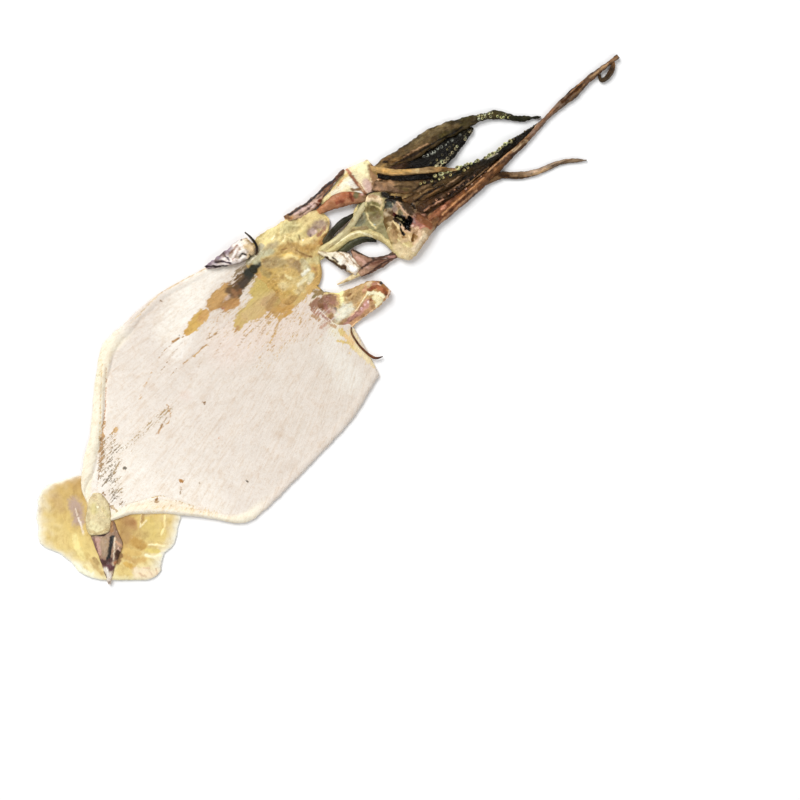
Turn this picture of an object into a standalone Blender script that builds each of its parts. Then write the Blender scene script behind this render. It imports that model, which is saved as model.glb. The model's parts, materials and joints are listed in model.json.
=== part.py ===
"""A dried squid lying flat, inner side up: the split mantle, the fins turned under its tail, the torn neck, the head
and ten arms, all grown together as one solid.

The script works in metres. The tables are in millimetres: +Y runs from the tail to the arm tips, +X is the squid's
right side as it lies, and +Z is up. The origin is the middle of the underside.
"""

import math

import bmesh
import bpy
from mathutils import Vector, noise

MM = 0.001

# The mantle sheet: y, left edge, right edge, underside, thickness. Both rims are rolled.
MANTLE_SHEET = (
    (-190, -1, 5, 0.9, 2.2),
    (-184, -17, 10, 0.9, 2.2),
    (-172, -27.5, 17, 0.8, 2.2),
    (-158, -36, 31, 0.4, 2.1),
    (-144, -47.5, 48, 0.1, 2.0),
    (-130, -59, 66.5, 0, 2.0),
    (-115, -68.5, 69.5, 0, 2.0),
    (-100, -69, 70, 0, 2.0),
    (-70, -67, 69.5, 0, 2.0),
    (-40, -58.5, 68, 0, 2.1),
    (-10, -49, 61, 0.2, 2.3),
)
MANTLE_FRONT_BOW = 12
RIM_WIDTH = 8
RIM_RISE = 1.8
RIM_LIFT = 0.9
RIM_COLUMNS = (0, 1.2, 4, 7, 8.2)
NARROW_WIDTH = 40
FLAT_MARGIN = 14

# The tail's own axis is turned from the mantle's. Its sheets are measured up and across from the tail's tip.
TAIL_TIP = (35.5, -213)
TAIL_TURN = math.radians(45)
FIN_SHEET = (
    (2.5, -6, 23, 0.5, 1.4),
    (6, -16, 29, 0.6, 1.5),
    (12, -22, 31, 0.6, 1.6),
    (18, -30, 33, 0.5, 1.7),
    (24, -41, 38, 0.4, 1.8),
    (33, -43, 41, 0.3, 1.8),
    (43, -43.5, 42.5, 0.3, 1.8),
    (52, -42, 40, 0.3, 1.8),
    (59, -37, 33, 0.4, 1.7),
    (65, -20, 22, 0.5, 1.5),
)
TAIL_LEAF = (
    (28.5, -9, -5, 1.2, 2.6),
    (31, -12, -1, 1.2, 3.0),
    (37, -14, 1, 1.2, 3.2),
    (43, -13.5, 0.5, 1.2, 3.2),
    (49, -12.5, -1.5, 1.4, 3.0),
    (55, -9, -6, 1.6, 2.4),
)
TAIL_CONE = (
    (0, -0.7, 0.7, 1.0, 1.6),
    (9, -3.5, 3, 1.0, 3.2),
    (17, -6.5, 6, 1.0, 3.8),
    (24, -9, 8, 1.0, 3.8),
    (30, -10.5, 6, 1.1, 3.2),
    (38, -4, 3, 1.3, 2.4),
)

# Torn sheets of the neck and head, in the same columns as the mantle
NECK_SHEET = (
    (-25, -50, -2, 1.0, 2.6),
    (-5, -49, -3, 0.6, 2.9),
    (8, -46.5, -9, 0.5, 3.0),
    (18, -43.5, -17, 0.6, 3.0),
    (27, -39.5, -19.5, 0.7, 2.8),
    (35, -34, -26, 0.9, 2.2),
)
SKIN_SCRAP = (
    (-38, -58.6, -57, 3.0, 1.4),
    (-30, -57.5, -50.5, 2.6, 2.8),
    (-20, -56, -44.5, 1.9, 4.0),
    (-12, -55.5, -43, 1.7, 4.2),
    (-8, -53, -45, 1.7, 3.6),
)
CHEEK_FLARE = (
    (38, -38, -33, 1.2, 1.6),
    (48, -38, -31, 1.0, 1.6),
    (55, -39.5, -26, 0.9, 1.6),
    (62, -40.5, -20, 0.9, 2.2),
    (69, -38, -20, 1.0, 3.2),
    (76, -35, -25, 1.4, 3.6),
)
EYE_MEMBRANE = (
    (36, -12, -8, 1.0, 2.0),
    (44, -16, -3, 0.8, 2.4),
    (50, -20, 11, 0.8, 2.8),
    (57, -20.5, 15, 0.9, 3.0),
    (64, -19, 9, 1.0, 3.6),
    (71, -14, 4, 1.2, 4.0),
)
HEAD_CAPSULE = (
    (47.5, 14, 19, 0.8, 3.0),
    (51, 9, 24.5, 0.5, 5.0),
    (56, -1, 26, 0.4, 6.4),
    (62, -7, 26, 0.4, 7.4),
    (69, -11, 25, 0.4, 7.6),
    (76, -9, 23, 0.5, 6.4),
    (83, -4, 18, 0.8, 4.6),
)
BRIDGE_STRIP = (
    (24, 8, 12.5, 1.4, 2.0),
    (28, 1, 14, 1.2, 2.2),
    (32, -3.5, 15.3, 1.1, 2.4),
    (36, 7, 16.6, 1.1, 2.4),
    (42, 12.5, 17.8, 1.0, 2.4),
    (49, 15.5, 19, 1.0, 2.6),
)
FUNNEL_FLAP = (
    (-12, 8, 20, 1.2, 2.4),
    (-6, 0, 27, 1.0, 2.8),
    (1, 1.5, 29.5, 0.8, 3.2),
    (7, 8, 30.5, 0.8, 3.6),
    (14, 12, 31.5, 1.0, 4.2),
    (20, 14.5, 32.2, 1.2, 4.6),
    (26, 17.5, 32.5, 1.4, 4.6),
    (30.5, 23, 30, 2.0, 3.2),
)
ARM_WEB = (
    (66, -23, 23, 0.9, 3.0),
    (75, -27, 22, 0.9, 3.4),
    (84, -25, 22, 0.9, 3.2),
    (92, -20, 22.5, 0.8, 2.6),
    (100, 3, 23, 0.8, 2.6),
    (114, 13, 24, 0.8, 2.2),
)

# Ribbons: x, y, half width, underside, thickness
NECK_CORD = (
    (-44.5, 15, 1.4, 1.6, 3.0),
    (-42, 28, 2.2, 1.3, 3.4),
    (-39, 42, 2.6, 1.2, 3.4),
    (-38.5, 54, 2.2, 1.4, 3.2),
    (-40.5, 62, 1.0, 1.8, 2.4),
)
CHEEK_MUSCLE = (
    (-34, 32, 1.6, 1.4, 2.8),
    (-30.5, 45, 4.2, 1.2, 4.2),
    (-26, 52.5, 4.2, 1.2, 4.2),
    (-18, 60, 2.0, 1.4, 3.4),
)
DARK_STRAND = (
    (-18, 20, 2.0, 1.2, 2.8),
    (-19.2, 32, 1.9, 1.6, 3.0),
    (-19.2, 42, 1.9, 1.5, 3.0),
    (-19.6, 53, 1.6, 1.4, 2.8),
)
PALE_STRAND = (
    (-17, 14, 2.4, 1.1, 2.6),
    (-14.5, 27, 2.2, 1.3, 3.2),
    (-13.5, 38, 2.2, 1.3, 3.4),
    (-15.5, 48, 2.2, 1.2, 3.4),
    (-18, 60, 2.2, 1.2, 3.2),
)
LOWER_ARC = (
    (-14, 14, 2.0, 1.4, 2.4),
    (-11, 26, 2.0, 1.2, 2.8),
    (-10, 35, 2.2, 1.1, 3.0),
    (-6, 43, 2.4, 1.1, 3.2),
    (1, 47.8, 2.2, 1.1, 3.2),
    (9, 50, 2.2, 1.1, 3.4),
    (17, 50, 2.4, 1.2, 3.4),
)
DARK_BAND = (
    (-7, 24, 2.0, 1.4, 2.4),
    (-6, 34, 2.4, 1.0, 2.4),
    (-3, 41, 2.2, 1.0, 2.4),
    (3, 46, 1.4, 1.2, 2.2),
)
PAPERY_FOLD = (
    (-17, 16, 1.6, 1.4, 2.8),
    (-9, 20, 3.0, 1.6, 3.6),
    (-1.5, 23.5, 4.8, 1.6, 4.4),
    (8.5, 25, 3.0, 1.5, 3.4),
)
LOOSE_STRAND = (
    (9.5, 25, 1.8, 1.4, 2.2),
    (7.5, 17.5, 1.2, 1.0, 1.8),
    (5, 10.5, 0.5, 0.8, 1.2),
)
ARM_BLADE = (
    (-26.5, 70, 3.0, 1.0, 3.4),
    (-26, 82, 3.4, 0.9, 3.6),
    (-20.5, 96, 5.4, 0.8, 3.8),
    (-18, 108, 5.6, 0.7, 3.8),
    (-15, 119, 5.0, 0.6, 3.6),
    (-11.3, 128, 4.2, 0.6, 3.4),
    (-7, 138, 2.8, 0.5, 3.0),
    (-1.5, 147.5, 2.4, 0.4, 2.8),
    (4.5, 152.8, 2.4, 0.4, 2.6),
    (10.2, 156.5, 2.0, 0.4, 2.2),
    (14.5, 161, 1.5, 0.4, 1.8),
    (20.3, 168, 0.5, 0.4, 1.2),
)
ARM_SUCKERED = (
    (-20, 74, 3.0, 0.7, 3.0),
    (-13, 88, 5.2, 0.6, 3.2),
    (-7.5, 99, 6.4, 0.5, 3.4),
    (-5.6, 109, 6.6, 0.4, 3.4),
    (-5, 119, 5.0, 0.3, 3.2),
    (-4.4, 128, 3.0, 0.3, 2.6),
    (-3.8, 134.5, 1.0, 0.4, 1.6),
)
TENTACLE_SHORT = (
    (-31, 73, 1.8, 2.2, 2.4),
    (-24.5, 76.5, 2.4, 3.2, 2.2),
    (-17.5, 81.5, 2.4, 3.6, 2.2),
    (-9, 91, 2.3, 3.5, 2.2),
    (-1, 101, 2.1, 3.3, 2.2),
    (8.5, 110.5, 0.8, 3.2, 1.8),
)
ARM_FRINGED = (
    (-24, 66, 3.6, 1.4, 3.6),
    (-13, 75, 4.2, 1.6, 4.2),
    (-3, 84.5, 4.3, 1.4, 4.4),
    (5, 97, 4.2, 1.1, 4.4),
    (11, 113, 4.0, 0.9, 4.2),
    (15.5, 128, 3.6, 0.7, 3.8),
    (18.5, 142, 2.8, 0.6, 3.4),
    (21, 154, 2.0, 0.5, 2.8),
    (22.6, 166, 0.8, 0.5, 1.8),
)
ARM_UNDER = (
    (-21, 70, 3.0, 0.5, 3.0),
    (-11, 82, 3.4, 0.4, 3.2),
    (-2, 94, 3.4, 0.4, 3.0),
    (6, 107, 1.8, 0.5, 2.2),
)
ARM_INNER = (
    (-2, 70, 3.4, 1.0, 4.4),
    (3.7, 85, 3.6, 0.8, 4.6),
    (8.6, 99, 3.6, 0.6, 4.4),
    (13, 114, 3.2, 0.5, 4.0),
    (17, 128, 2.6, 0.4, 3.4),
    (19.5, 141, 1.0, 0.4, 2.2),
)
ARM_MIDDLE = (
    (7.5, 72, 3.4, 1.1, 4.8),
    (12, 88, 3.4, 0.9, 4.8),
    (15.5, 101, 3.0, 0.7, 4.4),
    (18, 114, 2.7, 0.6, 4.0),
    (20, 128, 2.1, 0.5, 3.4),
    (21.7, 141, 1.0, 0.5, 2.2),
)
ARM_LONG = (
    (18, 62, 5.0, 0.4, 5.4),
    (17.8, 76, 4.4, 0.2, 5.4),
    (19.3, 90, 3.8, 0, 5.2),
    (21.4, 104, 3.4, 0, 4.8),
    (22.8, 118, 3.2, 0, 4.4),
    (23.2, 132, 2.9, 0, 4.0),
    (22.9, 146, 2.2, 0, 3.4),
    (22.5, 161, 1.7, 0, 2.8),
    (22.6, 176, 1.8, 0.1, 2.6),
    (23.3, 190, 3.0, 0.2, 2.6),
    (24.4, 203, 3.0, 0.3, 2.6),
    (25.3, 215, 1.8, 0.5, 2.4),
    (27.6, 226.5, 0.7, 1.0, 1.8),
)
TIP_HOOK = (
    (26.8, 222, 0.9, 0.8, 1.8),
    (29.6, 219.5, 1.5, 0.6, 2.0),
    (31.6, 213, 1.6, 0.5, 2.0),
    (30.3, 209, 1.4, 0.5, 1.8),
    (27, 210.5, 0.7, 0.5, 1.6),
)
TENTACLE_THIN = (
    (22, 108, 1.6, 0.6, 2.4),
    (27.5, 125, 2.0, 0.4, 2.4),
    (34.5, 132.5, 2.1, 0.3, 2.2),
    (40.2, 139.8, 1.9, 0.2, 2.0),
    (44, 147.8, 1.6, 0.2, 1.8),
    (47.2, 155.8, 1.4, 0.2, 1.8),
    (51.7, 162.2, 1.2, 0.3, 1.6),
    (58, 169, 0.5, 0.4, 1.2),
)

# Sucker rows: arm, place across it, first and last place along it, count, radius at the first and last
SUCKER_ROWS = (
    (ARM_SUCKERED, 0.34, 0.30, 0.84, 7, 1.3, 0.8),
    (ARM_SUCKERED, 0.72, 0.32, 0.90, 9, 1.3, 0.8),
    (ARM_FRINGED, 0.10, 0.44, 0.80, 12, 1.3, 0.8),
    (ARM_FRINGED, 0.36, 0.30, 0.56, 6, 1.3, 1.0),
    (ARM_INNER, 0.40, 0.24, 0.60, 6, 1.2, 0.9),
    (ARM_BLADE, 0.55, 0.62, 0.76, 5, 1.0, 0.8),
)
SUCKER_HEIGHT = 0.9
SUCKER_SIDES = 6
SUCKER_TAPER = 0.7

# Crinkles: the spacing and height of the dried flesh's small hills, and the mantle's longer, lower ones
CRINKLE_SIZE = 11
CRINKLE_DEPTH = 0.7
WAVE_SIZE = 22
WAVE_DEPTH = 0.35

# A cross-section: the share of its thickness where its edge begins and ends
EDGE_LOW = 0.3
EDGE_HIGH = 0.6


def clear_scene():
    for thing in list(bpy.data.objects):
        bpy.data.objects.remove(thing)


def flesh_material():
    material = bpy.data.materials.new("dried flesh")
    material.use_nodes = True
    shader = material.node_tree.nodes["Principled BSDF"]
    shader.inputs["Base Color"].default_value = (0.78, 0.65, 0.45, 1)
    shader.inputs["Roughness"].default_value = 0.6
    shader.inputs["Metallic"].default_value = 0
    return material


def row_at(table, t):
    """The row at t, from 0 to 1, on a smooth curve through the table's rows."""
    spans = len(table) - 1
    index = min(int(t * spans), spans - 1)
    f = t * spans - index
    four_rows = (table[min(max(index + step, 0), spans)] for step in (-1, 0, 1, 2))
    return [
        0.5 * (2 * b + (c - a) * f + (2 * a - 5 * b + 4 * c - d) * f**2 + (3 * b - a - 3 * c + d) * f**3)
        for a, b, c, d in zip(*four_rows)
    ]


def hills(x, y, size, depth):
    return depth * noise.noise(Vector((x / size, y / size, 0)))


def roundness(s, squareness):
    """0 at both edges of a cross-section and 1 along its middle; a higher squareness keeps it flat for longer."""
    return 1 - abs(2 * s - 1) ** squareness


def section_heights(s, bottom, thick, squareness):
    """The heights of the underside and the top at s, from 0 to 1 across."""
    full = roundness(s, squareness)
    base = max(bottom, 0)
    return base + EDGE_LOW * thick * (1 - full), base + thick * (EDGE_HIGH + (1 - EDGE_HIGH) * full)


def ribbon_row(table, t):
    """The left and right edge points of a ribbon at t, with its underside and thickness."""
    x, y, half, bottom, thick = row_at(table, t)
    ahead = row_at(table, min(t + 0.01, 1))
    behind = row_at(table, max(t - 0.01, 0))
    along = Vector((ahead[0] - behind[0], ahead[1] - behind[1])).normalized()
    side = Vector((along.y, -along.x)) * half
    middle = Vector((x, y))
    return middle - side, middle + side, bottom, thick


def sheet_row(table, t):
    """The same for a sheet whose rows run straight across."""
    y, left, right, bottom, thick = row_at(table, t)
    return Vector((left, y)), Vector((right, y)), bottom, thick


def tail_row(table, t):
    """The same for a sheet on the tail's own axis."""
    up, left, right, bottom, thick = row_at(table, t)
    return tail_point(left, up), tail_point(right, up), bottom, thick


def tail_point(across, up):
    cos, sin = math.cos(TAIL_TURN), math.sin(TAIL_TURN)
    return Vector((TAIL_TIP[0] + across * cos - up * sin, TAIL_TIP[1] + across * sin + up * cos))


def loft(name, rows_of_pairs):
    """A closed solid through cross-sections, each a row of (underside point, top point) pairs in millimetres."""
    shape = bmesh.new()
    rows = [[[shape.verts.new(Vector(point) * MM) for point in pair] for pair in row] for row in rows_of_pairs]
    for near, far in zip(rows, rows[1:]):
        for j in range(len(near) - 1):
            shape.faces.new((near[j][1], near[j + 1][1], far[j + 1][1], far[j][1]))
            shape.faces.new((near[j][0], far[j][0], far[j + 1][0], near[j + 1][0]))
        for edge in (0, -1):
            shape.faces.new((near[edge][0], near[edge][1], far[edge][1], far[edge][0]))
    for row in (rows[0], rows[-1]):
        for first, second in zip(row, row[1:]):
            shape.faces.new((first[0], second[0], second[1], first[1]))
    bmesh.ops.recalc_face_normals(shape, faces=shape.faces)
    bmesh.ops.triangulate(shape, faces=shape.faces)
    mesh = bpy.data.meshes.new(name)
    shape.to_mesh(mesh)
    shape.free()
    return bpy.data.objects.new(name, mesh)


def sheet(name, table, row_of, steps, columns, squareness, crinkled=0):
    """A solid sheet or ribbon along a table. Its crinkles lift the top only, and fade out at its edges."""
    rows_of_pairs = []
    for i in range(steps + 1):
        left, right, bottom, thick = row_of(table, i / steps)
        row = []
        for j in range(columns + 1):
            s = j / columns
            place = left.lerp(right, s)
            low, high = section_heights(s, bottom, thick, squareness)
            high += crinkled * hills(place.x, place.y, CRINKLE_SIZE, CRINKLE_DEPTH) * roundness(s, 2)
            row.append(((place.x, place.y, low), (place.x, place.y, high)))
        rows_of_pairs.append(row)
    return loft(name, rows_of_pairs)


def rim_rise(distance):
    """The height of the rolled rim at a distance in from the mantle's edge."""
    if distance > RIM_WIDTH:
        return 0
    return RIM_RISE * math.sqrt(max(0, 1 - (2 * distance / RIM_WIDTH - 1) ** 2))


def mantle():
    """The split mantle: flat under its middle, its edges lifted a little and its rims rolled up."""
    inner_columns = 7
    steps = 20
    rows_of_pairs = []
    for i in range(steps + 1):
        t = (i / steps) ** 1.2
        left, right, bottom, thick = sheet_row(MANTLE_SHEET, t)
        width = right.x - left.x
        inset = min(1, width / NARROW_WIDTH)
        near = [place * inset for place in RIM_COLUMNS]
        gap = width - 2 * near[-1]
        middle = [near[-1] + gap * j / inner_columns for j in range(1, inner_columns)]
        far = [width - place for place in reversed(near)]
        row = []
        for across in near + middle + far:
            distance = min(across, width - across)
            s = across / width
            x = left.x + across
            y = left.y + MANTLE_FRONT_BOW * math.sin(math.pi * s) * t**6
            low = max(bottom, 0) + RIM_LIFT * max(0, 1 - distance / FLAT_MARGIN) ** 2
            wave = hills(x, y, WAVE_SIZE, WAVE_DEPTH) * min(1, distance / RIM_WIDTH)
            high = bottom + thick + wave + rim_rise(distance / inset) * inset
            row.append(((x, y, low), (x, y, high)))
        rows_of_pairs.append(row)
    return loft("mantle", rows_of_pairs)


def tail():
    return [
        sheet("fins", FIN_SHEET, tail_row, 12, 11, 8, crinkled=0.6),
        sheet("tail leaf", TAIL_LEAF, tail_row, 7, 4, 4),
        sheet("tail cone", TAIL_CONE, tail_row, 7, 4, 2),
    ]


def neck():
    return [
        sheet("neck", NECK_SHEET, sheet_row, 12, 9, 6, crinkled=1.3),
        sheet("skin scrap", SKIN_SCRAP, sheet_row, 6, 4, 4, crinkled=1.5),
        sheet("neck cord", NECK_CORD, ribbon_row, 9, 4, 2),
        sheet("cheek flare", CHEEK_FLARE, sheet_row, 9, 5, 6, crinkled=1),
        sheet("cheek muscle", CHEEK_MUSCLE, ribbon_row, 8, 4, 2),
        sheet("dark strand", DARK_STRAND, ribbon_row, 6, 2, 2),
        sheet("pale strand", PALE_STRAND, ribbon_row, 8, 4, 2),
        sheet("lower arc", LOWER_ARC, ribbon_row, 12, 4, 2),
        sheet("dark band", DARK_BAND, ribbon_row, 6, 2, 2),
        sheet("bridge strip", BRIDGE_STRIP, sheet_row, 8, 4, 4, crinkled=0.8),
        sheet("papery fold", PAPERY_FOLD, ribbon_row, 8, 5, 4, crinkled=2),
        sheet("loose strand", LOOSE_STRAND, ribbon_row, 5, 2, 2),
    ]


def head():
    return [
        sheet("eye membrane", EYE_MEMBRANE, sheet_row, 9, 7, 4, crinkled=1.5),
        sheet("head capsule", HEAD_CAPSULE, sheet_row, 9, 8, 3, crinkled=2.5),
        sheet("funnel flap", FUNNEL_FLAP, sheet_row, 11, 8, 4, crinkled=1.5),
        sheet("arm web", ARM_WEB, sheet_row, 8, 5, 6),
    ]


def arms():
    return [
        sheet("arm blade", ARM_BLADE, ribbon_row, 17, 4, 2),
        sheet("arm suckered", ARM_SUCKERED, ribbon_row, 12, 4, 3),
        sheet("tentacle short", TENTACLE_SHORT, ribbon_row, 10, 4, 2),
        sheet("arm fringed", ARM_FRINGED, ribbon_row, 15, 4, 2),
        sheet("arm under", ARM_UNDER, ribbon_row, 8, 4, 2),
        sheet("arm inner", ARM_INNER, ribbon_row, 10, 4, 2),
        sheet("arm middle", ARM_MIDDLE, ribbon_row, 10, 4, 2),
        sheet("arm long", ARM_LONG, ribbon_row, 22, 4, 2),
        sheet("tip hook", TIP_HOOK, ribbon_row, 8, 2, 2),
        sheet("tentacle thin", TENTACLE_THIN, ribbon_row, 12, 2, 2),
    ]


def sucker(name, place, radius):
    """One sucker: a low cup-sized bump, sunk a little in the arm."""
    shape = bmesh.new()
    bmesh.ops.create_cone(
        shape, cap_ends=True, segments=SUCKER_SIDES, radius1=radius * MM,
        radius2=SUCKER_TAPER * radius * MM, depth=2 * SUCKER_HEIGHT * MM,
    )
    bmesh.ops.translate(shape, verts=shape.verts, vec=place * MM)
    mesh = bpy.data.meshes.new(name)
    shape.to_mesh(mesh)
    shape.free()
    return bpy.data.objects.new(name, mesh)


def suckers():
    made = []
    for table, s, first, last, count, big, small in SUCKER_ROWS:
        for k in range(count):
            f = k / (count - 1)
            left, right, bottom, thick = ribbon_row(table, first + (last - first) * f)
            middle = left.lerp(right, s)
            top = section_heights(s, bottom, thick, 2)[1]
            radius = big + (small - big) * f
            made.append(sucker("sucker", Vector((middle.x, middle.y, top)), radius))
    return made


def fuse(base, others):
    """One Boolean union of the base with all the others, applied. The others are then removed."""
    joined = bpy.data.collections.new("joined")
    bpy.context.scene.collection.objects.link(base)
    for other in others:
        joined.objects.link(other)
    bpy.context.scene.collection.children.link(joined)
    union = base.modifiers.new("union", "BOOLEAN")
    union.operation = "UNION"
    union.operand_type = "COLLECTION"
    union.collection = joined
    union.solver = "EXACT"
    evaluated = base.evaluated_get(bpy.context.evaluated_depsgraph_get())
    mesh = bpy.data.meshes.new_from_object(evaluated)
    base.modifiers.clear()
    base.data = mesh
    for other in others:
        bpy.data.objects.remove(other)
    bpy.data.collections.remove(joined)


def main():
    clear_scene()
    squid = mantle()
    squid.name = "dried_squid"
    fuse(squid, tail() + neck() + head() + arms() + suckers())
    squid.data.name = "dried_squid"
    squid.data.materials.clear()
    squid.data.materials.append(flesh_material())
    squid.data.shade_smooth()
    squid.data.set_sharp_from_angle(angle=math.radians(40))


main()
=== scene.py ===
"""A dried squid, split open and dried flat, lying inner side up on a pale table and seen straight from above.

Blender works in metres. The tables are in millimetres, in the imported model's own frame: +Y runs from the
tail to the arm tips, +X is to the right of that as seen from above, and +Z is up. Colours are sRGB, from 0 to
255.
"""

import json
import math

import bpy
import numpy as np
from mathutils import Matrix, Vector, noise

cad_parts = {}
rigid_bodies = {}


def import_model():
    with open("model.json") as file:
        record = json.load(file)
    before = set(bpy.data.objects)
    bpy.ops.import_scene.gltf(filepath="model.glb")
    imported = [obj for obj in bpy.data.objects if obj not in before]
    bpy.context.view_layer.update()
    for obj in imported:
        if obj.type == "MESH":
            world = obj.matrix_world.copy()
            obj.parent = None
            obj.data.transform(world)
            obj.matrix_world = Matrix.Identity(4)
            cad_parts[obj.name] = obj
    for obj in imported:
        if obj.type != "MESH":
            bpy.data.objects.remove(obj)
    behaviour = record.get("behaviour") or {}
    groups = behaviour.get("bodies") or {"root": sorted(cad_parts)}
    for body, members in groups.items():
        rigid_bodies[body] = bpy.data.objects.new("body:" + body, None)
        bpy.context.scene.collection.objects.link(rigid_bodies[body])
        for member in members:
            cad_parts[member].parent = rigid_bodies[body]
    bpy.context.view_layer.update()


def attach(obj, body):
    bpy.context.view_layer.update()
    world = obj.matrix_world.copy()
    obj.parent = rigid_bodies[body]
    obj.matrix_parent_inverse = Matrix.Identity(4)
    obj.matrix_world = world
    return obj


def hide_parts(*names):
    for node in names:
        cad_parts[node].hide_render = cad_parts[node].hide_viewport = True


for startup_object in list(bpy.data.objects):
    bpy.data.objects.remove(startup_object)
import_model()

MM = 0.001
CELL = 0.75
FINE_CELL = 0.5
HIGHEST = 8.3

# The mantle sheet: y, left edge, right edge, underside, thickness
MANTLE_SHEET = (
    (-190, -1, 5, 0.9, 2.2),
    (-184, -17, 10, 0.9, 2.2),
    (-172, -27.5, 17, 0.8, 2.2),
    (-158, -36, 31, 0.4, 2.1),
    (-144, -47.5, 48, 0.1, 2.0),
    (-130, -59, 66.5, 0, 2.0),
    (-115, -68.5, 69.5, 0, 2.0),
    (-100, -69, 70, 0, 2.0),
    (-70, -67, 69.5, 0, 2.0),
    (-40, -58.5, 68, 0, 2.1),
    (-10, -49, 61, 0.2, 2.3),
)
MANTLE_FRONT_BOW = 12
# The mantle's fibres fan out from a point beyond its neck
FAN_CENTRE = (-22, 110)
FAN_SCALE = 200
# Its marks are dragged out along the fan: how far, the streaks' width, and how many times as long they are
STREAKS = ((1.6, 1.6, 12), (1.2, 0.8, 14))
# Its margin is lifted off the table and rounded, and its rims roll less where it is narrower than their room
RIM_LIFT = 0.9
FLAT_MARGIN = 14
ROUND_MARGIN = 1.6
RIM_ROOM = 40
RIM_UNEVENNESS = 0.25
RIM_CREASE = 0.12
RIM_CREASE_WIDTH = 0.9
FIBRE_SIZE = 2.2
FIBRE_DEPTH = 0.1
WRINKLE_SIZE = 1.1
WRINKLE_DEPTH = 0.08
# The mantle's flesh and its bloom, from the tail to the neck, and both on its rolled rims
MANTLE_FLESH = ((206, 172, 118), (214, 182, 130), (206, 172, 112))
MANTLE_BLOOM = ((249, 243, 235), (246, 239, 228), (238, 229, 218), (230, 220, 209), (224, 214, 202))
ROLL_FLESH = (242, 226, 184)
ROLL_BLOOM = (252, 244, 220)
MANTLE_EDGE = (244, 230, 190)
MANTLE_UNDER = (206, 172, 134)
# The rolled rims: y, width, rise
LEFT_RIM = (
    (-190, 4, 0.8),
    (-172, 8.5, 1.8),
    (-150, 10, 1.9),
    (-118, 9, 1.7),
    (-95, 6, 1),
    (-70, 5, 0.5),
    (-10, 5, 0.4),
)
RIGHT_RIM = (
    (-190, 4, 0.8),
    (-165, 7, 1.6),
    (-132, 7, 1.3),
    (-116, 4, 0.4),
    (-60, 5, 0.3),
    (-10, 6, 0.6),
)

# The tail's own axis is turned from the mantle's. Its sheets are measured up and across from the tail's tip.
TAIL_TIP = (35.5, -213)
TAIL_TURN = math.radians(45)
FIN_SHEET = (
    (2.5, -6, 23, 0.5, 1.4),
    (6, -16, 29, 0.6, 1.5),
    (12, -22, 31, 0.6, 1.6),
    (18, -30, 33, 0.5, 1.7),
    (24, -41, 38, 0.4, 1.8),
    (33, -43, 41, 0.3, 1.8),
    (43, -43.5, 42.5, 0.3, 1.8),
    (52, -42, 40, 0.3, 1.8),
    (59, -37, 33, 0.4, 1.7),
    (65, -20, 22, 0.5, 1.5),
)
TAIL_LEAF = (
    (29.4, -11, -7, 1.8, 2.8),
    (31.4, -12.8, 0, 1.8, 3.2),
    (37, -14, 1.2, 1.8, 3.2),
    (43, -13.5, 1, 1.6, 3.2),
    (49, -12.5, -0.5, 1.6, 3.0),
    (55, -9.5, -5, 1.6, 2.4),
)
TAIL_CONE = (
    (0, -0.7, 0.7, 1.0, 1.6),
    (9, -3.5, 3, 1.0, 3.2),
    (17, -6.5, 6, 1.0, 3.8),
    (24, -9, 8, 1.0, 3.8),
    (30, -10.5, 6, 1.1, 3.2),
    (38, -4, 3, 1.3, 2.4),
)

# Torn sheets of the neck and head, in the same columns as the mantle
NECK_SHEET = (
    (-25, -50, -2, 1.0, 2.6),
    (-5, -49, -1.5, 0.6, 2.9),
    (3, -47.7, -3, 0.55, 2.9),
    (9, -46.2, -6, 0.5, 3.0),
    (14, -44.8, -13.5, 0.55, 3.0),
    (18, -43.5, -17, 0.6, 3.0),
    (27, -39.5, -19.5, 0.7, 2.8),
    (35, -34, -26, 0.9, 2.2),
)
SKIN_SCRAP = (
    (-38, -58.6, -57, 3.0, 1.4),
    (-30, -57.5, -50.5, 2.6, 2.8),
    (-20, -56, -44.5, 1.9, 4.0),
    (-12, -55.5, -43, 1.7, 4.2),
    (-8, -53, -45, 1.7, 3.6),
)
CHEEK_FLARE = (
    (38, -38, -33, 1.2, 1.6),
    (48, -38, -31, 1.0, 1.6),
    (55, -39.5, -26, 0.9, 1.6),
    (62, -40.5, -20, 0.9, 2.2),
    (69, -38, -20, 1.0, 3.2),
    (76, -35, -25, 1.4, 3.6),
)
EYE_MEMBRANE = (
    (36, -12, -8, 1.0, 2.0),
    (44, -16, -3, 0.8, 2.4),
    (50, -20, 11, 0.8, 2.8),
    (57, -20.5, 15, 0.9, 3.0),
    (64, -19, 9, 1.0, 3.6),
    (71, -14, 4, 1.2, 4.0),
)
HEAD_CAPSULE = (
    (47.5, 14, 19, 0.8, 3.0),
    (51, 9, 24.5, 0.5, 5.0),
    (56, -1, 26, 0.4, 6.4),
    (62, -7, 24.8, 0.4, 7.4),
    (69, -11, 23.8, 0.4, 7.6),
    (76, -4, 23, 0.5, 6.4),
    (83, 7, 19, 0.8, 4.6),
)
BRIDGE_STRIP = (
    (24, 8, 12.5, 1.4, 2.0),
    (28, 1, 14, 1.2, 2.2),
    (32, -3.5, 15.3, 1.1, 2.4),
    (36, 7, 16.6, 1.1, 2.4),
    (42, 12.5, 17.8, 1.0, 2.4),
    (49, 15.5, 19, 1.0, 2.6),
)
FUNNEL_FLAP = (
    (-12, 8, 20, 1.2, 2.4),
    (-6, 0, 27, 1.0, 2.8),
    (1, 1.5, 29.5, 0.8, 3.2),
    (7, 8, 30.5, 0.8, 3.6),
    (14, 12, 31.5, 1.0, 4.2),
    (20, 14.5, 32.2, 1.2, 4.6),
    (26, 17.5, 32.5, 1.4, 4.6),
    (30.5, 23, 30, 2.0, 3.2),
)
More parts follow.
